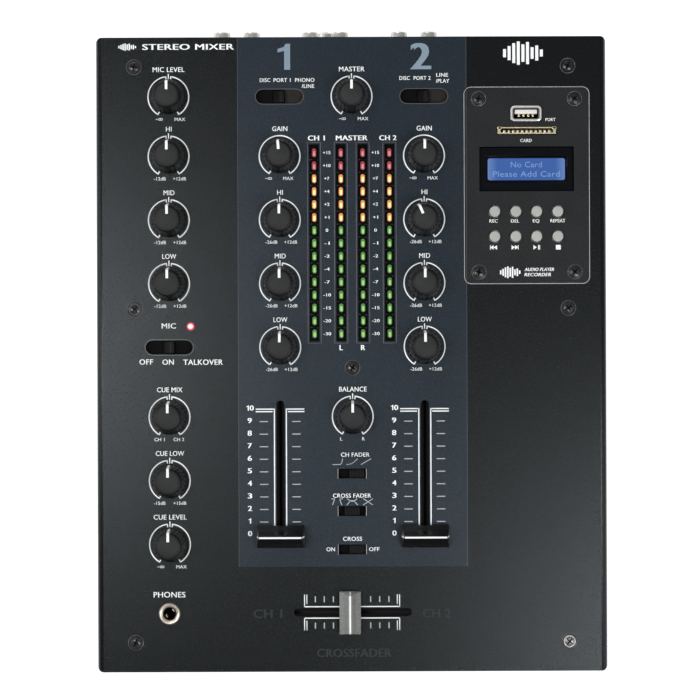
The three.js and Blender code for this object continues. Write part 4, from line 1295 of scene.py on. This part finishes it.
@dataclass
class RearSockets:
    """Everything on the rear wall."""

    rows: tuple[float, ...] = (58.0, 43.0)
    pitch: float = 15.1
    blocks: tuple[float, ...] = (-58.1, -13.0, 32.3)
    tip: float = field(default_factory=lambda: extent("rear_board")[1].y)
    wall: float = field(default_factory=lambda: extent("base_tray")[1].y)

    def build(self) -> None:
        """Makes the sockets, the earth post, the inlet and the rocker."""
        self.boards()
        self.phono()
        self.computer_port()
        self.earth_post()
        self.microphone()
        self.mains()

    def boards(self) -> None:
        """Socket board and the three moulded blocks behind the wall."""
        low, high = extent("rear_board")
        face = self.wall - 4.2
        board = slab((low.x, high.x), (low.y, low.y + 1.6), (low.z, high.z))
        Shape(board).piece("rear_circuit", BOARD, replaces=["rear_board"])
        blocks = Shape()
        for x in self.blocks:
            blocks.add(slab((x - 14.75, x + 14.75), (low.y + 1.6, face), (35.0, 66.0), 0.5, 0.3))
        blocks.piece("phono_blocks", PLASTIC)

    def phono(self) -> None:
        """Turned phono sockets with red and white insulators."""
        base, tip = self.wall - 4.4, self.tip
        depth = tip - base
        barrel = [(3.3, 0), (3.3, depth - 0.1), (3.4, depth), (3.55, depth), (3.85, depth - 0.12),
                  (4.05, depth - 0.4),
                  (4.15, depth - 0.9), (4.15, 5.4), (4.6, 5.2), (4.6, 0)]
        ring = [(1.75, depth - 6), (1.75, depth - 1.1), (3.3, depth - 0.9), (3.34, depth - 6)]
        core = [(1.3, depth - 8), (1.3, depth - 1.5), (1.72, depth - 1.5), (1.72, depth - 8)]
        barrels, cores, white, red, stops = Shape(), Shape(), Shape(), Shape(), Shape()
        for x in self.blocks:
            for z in self.rows:
                for side in (-1, 1):
                    at = (x + side * self.pitch / 2, base, z)
                    barrels.add(rearward(lathe(barrel, 40, closed=True), *at))
                    cores.add(rearward(lathe(core, 20, closed=True), *at))
                    colour = white if z == self.rows[0] else red
                    colour.add(rearward(lathe(ring, 32, closed=True), *at))
                    stops.add(rearward(lathe([(0, 0), (3.3, 0), (3.3, depth - 7.5), (0, depth - 7.5)], 20),
                                       *at))
        barrels.piece("phono_barrels", SHELL)
        cores.piece("phono_contacts", GOLD_TIN)
        white.piece("phono_insulators_white", WHITE_PLASTIC)
        red.piece("phono_insulators_red", RED_PLASTIC)
        stops.piece("phono_stops", BLACK_LIP_AND_SHADE)

    def computer_port(self, x: float = 61.0, z: float = 50.5) -> None:
        """Square data port: metal shell round a white tongue."""
        face = self.wall + 0.9
        shell = slab((x - 6, x + 6), (face - 15, face), (z - 5.5, z + 5.5))
        soften(shell, 0.7, 3)
        hollow = slab((x - 4.9, x + 4.9), (face - 11, face + 1), (z - 4.4, z + 4.4))
        Shape(carve(shell, hollow)).piece("port_shell", TIN)
        tongue = slab((x - 2.8, x + 2.8), (face - 11.2, face - 1), (z - 1.6, z + 1.6))
        soften(tongue, 0.2)
        Shape(tongue).piece("port_tongue", WHITE_PLASTIC)

    def earth_post(self) -> None:
        """Stud with a round nut and a washer."""
        low, high = extent("ground_post")
        x, z = (low.x + high.x) / 2, (low.z + high.z) / 2
        stud = lathe([(0, 0), (1.9, 0), (1.9, high.y - low.y - 0.3), (1.6, high.y - low.y),
                      (0, high.y - low.y)], 24)
        shape = Shape(rearward(stud, x, low.y, z))
        reach_out = high.y - 0.6 - self.wall
        nut = lathe([(1.92, reach_out - 5), (3.6, reach_out - 5), (4.0, reach_out - 4.6),
                     (4.0, reach_out - 0.5),
                     (3.5, reach_out), (1.92, reach_out)], 72, closed=True)
        shape.add(rearward(nut, x, self.wall, z))
        shape.add(rearward(lathe([(1.95, 0.02), (5.2, 0.02), (5.2, 0.45), (1.95, 0.45)], 40, closed=True), x,
                           self.wall, z))
        shape.piece("earth_post", SHELL, replaces=["ground_post"])

    def microphone(self) -> None:
        """Microphone socket: flanged housing, ring and release tab."""
        low, high = extent("mic_input")
        x, z = (low.x + high.x) / 2, (low.z + high.z) / 2
        plate = slab((low.x, high.x), (self.wall + 0.12, high.y), (low.z, high.z))
        soften(plate, 0.45, 3)
        housing = Shape(plate, rearward(lathe([(0, 0), (11.4, 0), (11.4, 26), (0, 26)], 64), x,
                                        self.wall - 25.6, z))
        bore = rearward(lathe([(0, 0), (3.3, 0), (3.3, 40), (0, 40)], 40), x, self.wall - 24, z)
        mouth = rearward(lathe([(3.3, 0), (9.6, 0), (10.2, 9), (3.3, 9)], 64, closed=True), x, high.y - 1.0,
                         z)
        Shape(carve(carve(housing.bm, bore), mouth)).piece("mic_socket", PLASTIC, replaces=["mic_input"])
        ring = lathe([(3.3, -5), (3.3, 0.55), (3.7, 0.85), (5.0, 0.85), (5.3, 0.55), (5.3, -5)], 56,
                     closed=True)
        Shape(rearward(ring, x, high.y - 1.0, z)).piece("mic_ring", NICKEL)
        tab = slab((x - 2.6, x + 2.6), (high.y - 0.6, high.y + 0.7), (z + 10.9, z + 14.2))
        soften(tab, 0.3)
        Shape(tab).piece("mic_release", TIN)
        Screws(radius=1.9, rise=0.7).group("mic_screws", [(facing(x + dx, high.y, z + dz, (0, 1, 0)), dx)
                                                          for dx, dz in ((-9.8, 12.2), (9.8, -12.2))])

    def mains(self) -> None:
        """Appliance inlet with its pins, and the rocker with its marks."""
        Shape.of_node("mains_inlet", 0.35).piece("mains_housing", PLASTIC, replaces=["mains_inlet"])
        low, high = extent("mains_inlet")
        x, z = (low.x + high.x) / 2, (low.z + high.z) / 2 - 10.5
        pins = Shape()
        for dx, dz in ((-7.0, -2.0), (7.0, -2.0), (0.0, 2.0)):
            pin = slab((x + dx - 1.08, x + dx + 1.08), (high.y - 15.8, high.y - 3.2),
                       (z + dz - 2.08, z + dz + 2.08))
            soften(pin, 0.35)
            pins.add(pin)
        pins.piece("mains_pins", NICKEL)
        Shape.of_node("power_rocker", 0.3).piece("rocker_key", CAP_BLACK, "power_rocker", ["power_rocker"])
        pivot = Vector(next(joint["pos_m"]
                            for joint in frame["joints"] if joint["name"] == "power_rocker_tilt"))
        pivot = (pivot - MIDDLE) / MM
        face = self.wall + 1.2 - pivot.y
        lean = math.degrees(math.atan2(1.0, 6.3))
        for word, side, name in (("I", 1, "on"), ("O", -1, "off")):
            mark = Print(0.0, 0.05).word(word, 0.0, 0.0, 3.0)
            turn = (Matrix.Translation(pivot) @ Matrix.Rotation(math.radians(10.0), 4, "X")
                    @ Matrix.Translation((0, face - 0.1, side * 3.15))
                    @ Matrix.Rotation(math.radians(side * lean), 4, "X")
                    @ Matrix.Rotation(math.pi, 4, "Z") @ Matrix.Rotation(math.pi / 2, 4, "X"))
            mark.piece(f"rocker_mark_{name}", INK, "power_rocker", turn)


# ---------------------------------------------------------------- inside


@dataclass
class Inside:
    """Boards and transformer, seen a little through the vents."""

    def build(self) -> None:
        """Dresses the carried-over boards and makes the transformer's winding."""
        dress("control_board", BOARD)
        dress("power_board", BOARD)
        dress("transformer", CORE)
        low, high = extent("transformer")
        x, y = plan("transformer")
        middle = (low.z + 2 + high.z) / 2
        coil = slab((x - 19.3, x + 19.3), (y - 26.3, y + 26.3), (middle - 13.3, middle + 13.3), 5.0, 1.5)
        Shape(coil).piece("transformer_winding", COPPER)


# ---------------------------------------------------------------- lettering


class Range(Enum):
    """Words at the two ends of a knob's travel, each with its width and its place beside the knob."""

    LEVEL = (("", 0.0, -4.4), ("MAX", 5.2, 5.7))
    GAIN = (("", 0.0, -5.3), ("MAX", 5.1, 4.3))
    MIC_TONE = (("-12dB", 5.9, -4.4), ("+12dB", 6.4, 5.4))
    TONE = (("-26dB", 5.9, -4.2), ("+12dB", 6.4, 5.4))
    CUE_TONE = (("-15dB", 5.7, -5.0), ("+15dB", 6.4, 5.0))
    CHANNELS = (("CH 1", 5.1, -5.0), ("CH 2", 5.3, 4.6))
    SIDES = (("L", 1.1, -5.7), ("R", 1.3, 5.3))


@dataclass(frozen=True)
class KnobScale:
    """Printed scale round one knob: title, its width, the range words, and whether the arc opens
    at the middle."""

    node: str
    title: str
    width: float
    ends: Range
    detent: bool = True


@dataclass
class Lettering:
    """All printed marks on the lid, the player's plate and the rear wall."""

    arc_radius: float = 10.15
    arc_width: float = 0.6
    arc_end: float = 149.0
    title_rise: float = 13.6
    range_drop: float = 11.15
    capital: float = 2.35
    small: float = 1.6
    fader_top: float = -26.6
    fader_pitch: float = 6.25
    scales: tuple[KnobScale, ...] = (
        KnobScale("knob_mic_level", "MIC LEVEL", 15.8, Range.LEVEL),
        KnobScale("knob_mic_hi", "HI", 2.8, Range.MIC_TONE),
        KnobScale("knob_mic_mid", "MID", 5.4, Range.MIC_TONE),
        KnobScale("knob_mic_low", "LOW", 6.9, Range.MIC_TONE),
        KnobScale("knob_cue_mix", "CUE MIX", 12.6, Range.CHANNELS),
        KnobScale("knob_cue_low", "CUE LOW", 14.1, Range.CUE_TONE),
        KnobScale("knob_cue_level", "CUE LEVEL", 16.4, Range.LEVEL),
        KnobScale("knob_master", "MASTER", 12.7, Range.LEVEL),
        KnobScale("knob_balance", "BALANCE", 13.7, Range.SIDES),
        KnobScale("knob_ch1_gain", "GAIN", 7.5, Range.GAIN, False),
        KnobScale("knob_ch2_gain", "GAIN", 7.5, Range.GAIN, False),
        KnobScale("knob_ch1_hi", "HI", 2.8, Range.TONE), KnobScale("knob_ch2_hi", "HI", 2.8, Range.TONE),
        KnobScale("knob_ch1_mid", "MID", 5.4, Range.TONE), KnobScale("knob_ch2_mid", "MID", 5.4, Range.TONE),
        KnobScale("knob_ch1_low", "LOW", 6.9, Range.TONE), KnobScale("knob_ch2_low", "LOW", 6.9, Range.TONE),
    )

    def build(self) -> None:
        """Prints everything."""
        self.knob_scales()
        for node in ("fader_ch1_body", "fader_ch2_body"):
            self.fader_scale(node)
        self.cross_scale()
        self.switch_words()
        self.curve_signs()
        self.meter_words()
        self.titles()
        self.player_words()
        self.rear_words()

    def knob_scales(self) -> None:
        """Arcs, ticks, titles and range words of the knobs."""
        arcs, words = Print(), Print()
        for scale in self.scales:
            x, y = plan(scale.node)
            self.knob_arc(arcs, x, y, scale.detent)
            words.word(scale.title, x + 0.15, y + self.title_rise, self.capital, scale.width, bold=0.012)
            for sign, width, offset in scale.ends.value:
                if sign:
                    words.word(sign, x + offset, y - self.range_drop, self.small, width, bold=0.008)
                else:
                    words.endless(x + offset, y - self.range_drop, 1.5)
        arcs.piece("knob_arcs", INK)
        words.piece("knob_words", INK)

    def knob_arc(self, ink: Print, x: float, y: float, detent: bool) -> None:
        """Arc with hooks at its ends, open round a tick at the middle if the knob has a detent."""
        gap = 7.2 if detent else 0.0
        sides = ((-self.arc_end, -gap), (gap, self.arc_end)) if detent else ((-self.arc_end, self.arc_end),)
        for start, end in sides:
            ink.arc(x, y, self.arc_radius, self.arc_width, start, end)
        for angle in (-self.arc_end, self.arc_end, *((-gap, gap) if detent else ())):
            lean = math.radians(angle)
            inner = self.arc_radius - (1.9 if abs(angle) < 90 else 1.5)
            outer = self.arc_radius + self.arc_width * 0.1
            ink.stroke([(x + outer * math.sin(lean), y + outer * math.cos(lean)),
                        (x + inner * math.sin(lean), y + inner * math.cos(lean))], self.arc_width)
        if detent:
            ink.bar((x - 0.26, x + 0.26), (y + self.arc_radius - 1.8, y + self.arc_radius + 1.3))

    def fader_scale(self, node: str) -> None:
        """Digits, ticks and the frame lines of one channel fader."""
        x, _ = plan(node)
        bold, ticks = Print(), Print()
        for step in range(11):
            y = self.fader_top - step * self.fader_pitch
            if step in (0, 9):
                bold.one(x - (16.0 if step == 0 else 15.1), y, 2.6)
            if step != 9:
                bold.word("0" if step == 0 else str(10 - step), x - (14.3 if step == 0 else 15.35), y, 2.5,
                          1.9, bold=0.03)
            if 0 < step < 10:
                for start, end in ((-10.4, -6.2), (5.8, 10.0)):
                    ticks.bar((x + start, x + end), (y - 0.55 - 0.22, y - 0.55 + 0.22))
        for y, gap in ((self.fader_top - 0.6, 3.0), (self.fader_top - 1.85, 3.9)):
            bold.bar((x - 12.3, x - gap), (y - 0.28, y + 0.28)).bar((x + gap - 0.2, x + 11.9),
                                                                    (y - 0.28, y + 0.28))
        for side in (-3.05, 2.9):
            bold.bar((x + side - 0.28, x + side + 0.28), (-94.0, self.fader_top - 0.35))
        bold.piece(node.replace("_body", "_scale"), INK)
        ticks.piece(node.replace("_body", "_ticks"), TICK_INK)

    def cross_scale(self) -> None:
        """Lines, end brackets and ticks of the crossfader, with its faint words."""
        y = plan("crossfader_body")[1]
        lines, ticks, faint = Print(), Print(), Print()
        left, right = -23.9, 23.4
        for side in (-1, 1):
            level = y + side * 2.85
            lines.bar((left, right), (level - 0.26, level + 0.26))
            for x, inner in ((left, left + 1.15), (right, right - 1.15)):
                lines.bar((x - 0.26, x + 0.26), reach((level, y + side * 8.9)))
                lines.bar((inner - 0.22, inner + 0.22), reach((y + side * 4.1, y + side * 8.9)))
            for x in (-18.55, -14.1, -9.55, 9.0, 13.5, 18.1):
                ticks.bar((x - 0.27, x + 0.27), reach((y + side * 5.1, y + side * 8.0)))
        lines.piece("crossfader_scale", INK)
        ticks.piece("crossfader_ticks", TICK_INK)
        faint.word("CROSSFADER", 0.8, -148.7, 4.0, 36.9, bold=0.03)
        faint.word("CH 1", -42.2, y - 0.6, 4.2, 14.0, bold=0.03).word("CH 2", 41.9, y - 0.6, 4.2, 13.6,
                                                                      bold=0.03)
        faint.piece("crossfader_words", FAINT_INK)

    def switch_words(self) -> None:
        """Words round the switches, the lamp and the headphone socket."""
        words = Print()
        left, _ = plan("phones_bush")
        for text, x, y, height, width in (
                ("MIC", left + 0.1, 14.4, 2.55, 7.0), ("OFF", -102.3, -3.5, 2.6, 6.7),
                ("ON", -91.4, -3.6, 2.6, 5.6),
                ("TALKOVER", -74.0, -3.7, 2.6, 19.6), ("PHONES", left, -119.4, 2.7, 15.8),
                ("CH FADER", 1.6, -50.0, 2.0, 14.2), ("CROSS FADER", -0.1, -70.4, 2.0, 18.9),
                ("CROSS", 0.1, -91.9, 2.0, 9.4), ("ON", -10.8, -97.1, 1.9, 4.2),
                ("OFF", 10.9, -97.1, 1.9, 5.2)):
            words.word(text, x, y, height, width, bold=0.012)
        x, y = plan("switch_ch1_input")
        for text, dx, dy, width in (("DISC", -7.1, 8.2, 5.2), ("PORT 1", 1.4, 8.2, 8.4),
                                    ("PHONO", 12.7, 8.2, 9.6),
                                    ("/LINE", 14.3, 5.2, 6.2)):
            words.word(text, x + dx, y + dy, 1.85, width, bold=0.012)
        x, y = plan("switch_ch2_input")
        for text, dx, dy, width in (("DISC", -9.5, 9.0, 5.2), ("PORT 2", -0.8, 9.0, 8.4),
                                    ("LINE", 9.2, 10.5, 5.8),
                                    ("/PLAY", 9.4, 7.5, 6.6)):
            words.word(text, x + dx, y + dy, 1.85, width, bold=0.012)
        words.piece("switch_words", INK)

    def curve_signs(self) -> None:
        """Small drawings of the fader curves."""
        signs = Print()
        low, high, line = -54.9, -52.1, 0.36
        signs.stroke([(-9.6, low), (-5.9, low), (-5.2, low + 0.7), (-4.7, high)], line)
        bow = [(-2.6 + 5.2 * step / 8, low + (high - low) * (step / 8) ** 2.2) for step in range(9)]
        signs.stroke(bow, line).stroke([(4.5, low), (9.4, high)], line)
        low, high = -75.0, -72.0
        signs.stroke([(-9.8, low), (-8.7, high), (-6.3, high), (-5.2, low)], line)
        signs.stroke([(-10.2, high), (-4.8, high)], line)
        signs.stroke([(-2.6, low), (-0.9, high - 0.9), (0.9, high - 0.9), (2.6, low)], line)
        signs.stroke([(-2.4, high), (-0.8, high - 1.2), (0.8, high - 1.2), (2.4, high)], line)
        signs.stroke([(5.6, low), (10.2, high)], line).stroke([(5.6, high), (10.2, low)], line)
        for y in (-59.4, -78.1, -97.2):
            for side in (-1, 1):
                x = side * 7.05
                signs.bar((x - 0.1, x + 0.1), (y - 2.5, y + 2.5))
        signs.piece("curve_signs", TICK_INK)

    def meter_words(self) -> None:
        """Titles and decibel figures of the light columns."""
        titles, figures = Print(), Print()
        for text, x, width in (("CH 1", -17.2, 8.2), ("MASTER", 0.4, 15.6), ("CH 2", 18.4, 8.4)):
            titles.word(text, x, 107.7, 2.4, width, bold=0.035)
        for text, x in (("L", -5.2), ("R", 5.7)):
            titles.word(text, x, 3.3, 2.5, bold=0.035)
        meters = LevelMeters()
        levels = ("+15", "+10", "+7", "+4", "+2", "+1", "0", "-1", "-2", "-4", "-7", "-10", "-15", "-20",
                  "-30")
        for step, text in enumerate(levels):
            for x in (-12.1, 12.1):
                figures.word(text, x, meters.first - step * meters.pitch, 1.5, min(3.7, 1.25 * len(text)),
                             bold=0.02)
        titles.piece("meter_titles", INK)
        figures.piece("meter_figures", INK)

    def titles(self) -> None:
        """Channel digits, the title line and the level sign in both rear corners, and the slate
        field's edge."""
        digits, words, edges = Print(), Print(), Print()
        digits.one(-31.6, 148.2, 12.9).word("2", 34.9, 148.2, 12.9, 8.8, bold=0.04)
        words.word("STEREO MIXER", -103.6, 153.3, 2.8, 45.4, Align.LEFT, bold=0.025)
        self.level_sign(words, -111.2, 153.3, 9.2, 3.6)
        self.level_sign(words, 85.8, 149.6, 20.6, 11.6)
        for x in (-56.4, 57.4):
            edges.bar((x - 0.14, x + 0.14), (-105.7, HALF_DEPTH - 0.8))
        digits.piece("channel_digits", DIGIT_INK)
        words.piece("title_words", INK)
        edges.piece("slate_edges", EDGE_INK)

    def level_sign(self, ink: Print, x: float, y: float, width: float, height: float) -> None:
        """Row of bars of different heights, as a plain sign for sound level."""
        shares = (0.35, 0.6, 0.85, 1.0, 0.75, 0.95, 0.5, 0.65, 0.3)
        pitch = width / len(shares)
        for step, share in enumerate(shares):
            centre = x - width / 2 + (step + 0.5) * pitch
            ink.bar((centre - pitch * 0.33, centre + pitch * 0.33),
                    (y - height * share / 2, y + height * share / 2))

    def player_words(self) -> None:
        """Words and signs on the player's plate."""
        words = Print(extent("player_plate")[1].z, 0.05)
        for text, x, y, height, width in (("PORT", 99.4, 116.5, 1.45, 4.9), ("CARD", 87.2, 106.1, 1.55, 5.6),
                                          ("REC", 70.9, 66.1, 1.6, 4.1), ("DEL", 81.6, 66.1, 1.6, 4.0),
                                          ("EQ", 92.1, 66.1, 1.6, 3.2), ("REPEAT", 102.9, 66.1, 1.6, 7.4)):
            words.word(text, x, y, height, width, bold=0.015)
        level, half = 52.9, 1.15
        for x, side in ((70.9, -1), (81.5, 1), (92.2, 1)):
            for step in ((-0.2, 1.5) if x < 90 else (0.0,)):
                start = x + side * (step - 1.5)
                words.fill([(start, level - half), (start + side * 1.7, level),
                            (start, level + half)][::side])
            words.bar(reach((x + side * 1.45, x + side * 1.8)), (level - half, level + half))
        words.bar((93.0, 93.45), (level - half, level + half)).bar((101.9, 104.3),
                                                                   (level - half, level + half))
        self.level_sign(words, 79.1, 40.5, 10.6, 5.8)
        words.word("AUDIO PLAYER", 86.3, 41.9, 1.6, 14.6, Align.LEFT, 0.03, 0.25)
        words.word("RECORDER", 86.1, 39.3, 1.6, 13.2, Align.LEFT, 0.03, 0.25)
        words.piece("player_words", INK)

    def rear_words(self) -> None:
        """Words beside the rear sockets, read from behind."""
        wall = extent("base_tray")[1].y
        turn = Matrix.Translation((0, wall, 0)) @ Matrix.Rotation(math.pi, 4,
                                                                  "Z") @ Matrix.Rotation(math.pi / 2, 4, "X")
        words = Print(0.0, 0.05)
        for text, x, z, width in (("CH 1", -58.1, 33.5, 7.0), ("CH 2", -13.0, 33.5, 7.0),
                                  ("OUT", 32.3, 33.5, 6.0),
                                  ("PORT", 61.0, 59.5, 6.6), ("MIC", -98.0, 67.5, 5.4),
                                  ("EARTH", -12.8, 73.5, 7.6)):
            words.word(text, -x, z, 2.1, width, bold=0.012)
        for middle in (-58.1, -13.0, 32.3):
            for row, text in ((58.0, "L"), (43.0, "R")):
                if middle != -13.0 or row == 58.0:
                    words.word(text, -middle, row, 2.1, bold=0.012)
        words.piece("rear_words", INK, CASE, turn)


# ---------------------------------------------------------------- studio


@dataclass
class Panel:
    """Soft light: a lit rectangle that faces a point on the mixer."""

    name: str
    place: Spot
    size: Point
    power: float
    aim: Spot = (0.0, 0.0, 0.05)
    tint: Colour = (1.0, 1.0, 1.0)

    def build(self) -> None:
        """Makes the light."""
        lamp = bpy.data.lights.new(self.name, "AREA")
        lamp.shape, lamp.size, lamp.size_y = "RECTANGLE", *self.size
        lamp.energy, lamp.color = self.power, self.tint
        made = bpy.data.objects.new(self.name, lamp)
        made.location = self.place
        made.rotation_mode = "QUATERNION"
        made.rotation_quaternion = (Vector(self.aim) - Vector(self.place)).to_track_quat("-Z", "Y")
        bpy.context.scene.collection.objects.link(made)


@dataclass
class Studio:
    """Pale floor, soft lights and the camera over the mixer."""

    distance: float = 1.27
    view_width: float = 0.3485
    roll: float = -0.21
    shift: Point = (-0.0024, 0.006)
    sensor: float = 36.0
    world: float = 0.24
    lights: tuple[Panel, ...] = (
        Panel("rear_key", (-0.5, 1.5, 0.95), (1.2, 0.7), 11.0),
        Panel("left_key", (-1.5, 0.1, 0.9), (0.8, 1.2), 7.0),
        Panel("right_fill", (1.5, -0.6, 0.9), (0.9, 1.1), 5.0),
        Panel("left_sheen", (-0.43, 0.0, 1.15), (0.22, 0.46), 4.3),
        Panel("front_sheen", (0.42, -0.36, 1.15), (0.22, 0.5), 5.3),
    )

    def build(self) -> None:
        """Makes the camera, the floor, the lights and the surrounding light."""
        self.camera()
        self.floor()
        for light in self.lights:
            light.build()
        scene = bpy.context.scene
        scene.world = scene.world or bpy.data.worlds.new("studio")
        scene.world.use_nodes = True
        background = next(node for node in scene.world.node_tree.nodes if node.type == "BACKGROUND")
        background.inputs["Color"].default_value = (1.0, 1.0, 1.0, 1.0)
        background.inputs["Strength"].default_value = self.world
        scene.view_settings.view_transform = "Standard"

    def camera(self) -> None:
        """Long lens straight over the middle of the lid."""
        lens = bpy.data.cameras.new("over_lid")
        lens.sensor_width = self.sensor
        lens.lens = self.sensor * self.distance / self.view_width
        lens.shift_x, lens.shift_y = self.shift
        lens.clip_start, lens.clip_end = 0.1, 20.0
        made = bpy.data.objects.new("over_lid", lens)
        made.location = MIDDLE + Vector((0, 0, TOP * MM + self.distance))
        made.rotation_euler = (0.0, 0.0, math.radians(self.roll))
        bpy.context.scene.collection.objects.link(made)
        bpy.context.scene.camera = made

    def floor(self) -> None:
        """Pale sheet with a faint sheen."""
        graph = Graph("studio_floor")
        graph.set("Base Color", graph.mix(graph.noise(300.0), (0.34, 0.34, 0.34), (0.36, 0.36, 0.36)))
        graph.set("Roughness", 0.7)
        graph.set("Specular IOR Level", 0.2)
        graph.set("Emission Color", (1.0, 1.0, 1.0))
        graph.set("Emission Strength", 0.85)
        bm = bmesh.new()
        bmesh.ops.create_grid(bm, x_segments=1, y_segments=1, size=6.0)
        mesh = bpy.data.meshes.new("floor")
        bm.to_mesh(mesh)
        bm.free()
        mesh.materials.append(graph.material)
        made = bpy.data.objects.new("floor", mesh)
        bpy.context.scene.collection.objects.link(made)


# ---------------------------------------------------------------- assembly


def knobs() -> list[Knob]:
    """Every knob, with the pointers that stand away from the middle."""
    turned = {"knob_ch2_hi": 24.0, "knob_ch1_gain": 4.5}
    return [Knob(node, turned.get(node, 0.0)) for node in sorted(frame["nodes"]) if node.startswith("knob_")]


def controls() -> list[FaderCap | Selector | SlideSwitch]:
    """Faders and switches."""
    caps = [FaderCap(f"fader_{channel}_cap", 23.6, 11.0, CAP_BLACK) for channel in ("ch1", "ch2")]
    cross = FaderCap("crossfader_cap", 21.2, 10.6, CAP_GREY, across=True, ridge=1.1, line=0.36)
    selectors = [Selector("switch_ch1_input"), Selector("switch_ch2_input"), Selector("switch_mic", BLACK_LIP_AND_SHADE)]
    slides = [SlideSwitch(node) for node in ("switch_channel_curve", "switch_cross_curve",
                                             "switch_cross_enable")]
    return [*caps, cross, *selectors, *slides]


def main() -> None:
    """Builds the studio and the mixer."""
    logging.basicConfig(level=logging.INFO, format="%(name)s: %(message)s")
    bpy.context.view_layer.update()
    parts = [Studio(), Case(), *knobs(), *controls(), Slots(), LevelMeters(), MicLamp(), PhonesJack(),
             Player(),
             RearSockets(), Inside(), Lettering()]
    for part in parts:
        part.build()
        LOG.info("%s done", type(part).__name__)


if __name__ == "__main__":
    main()
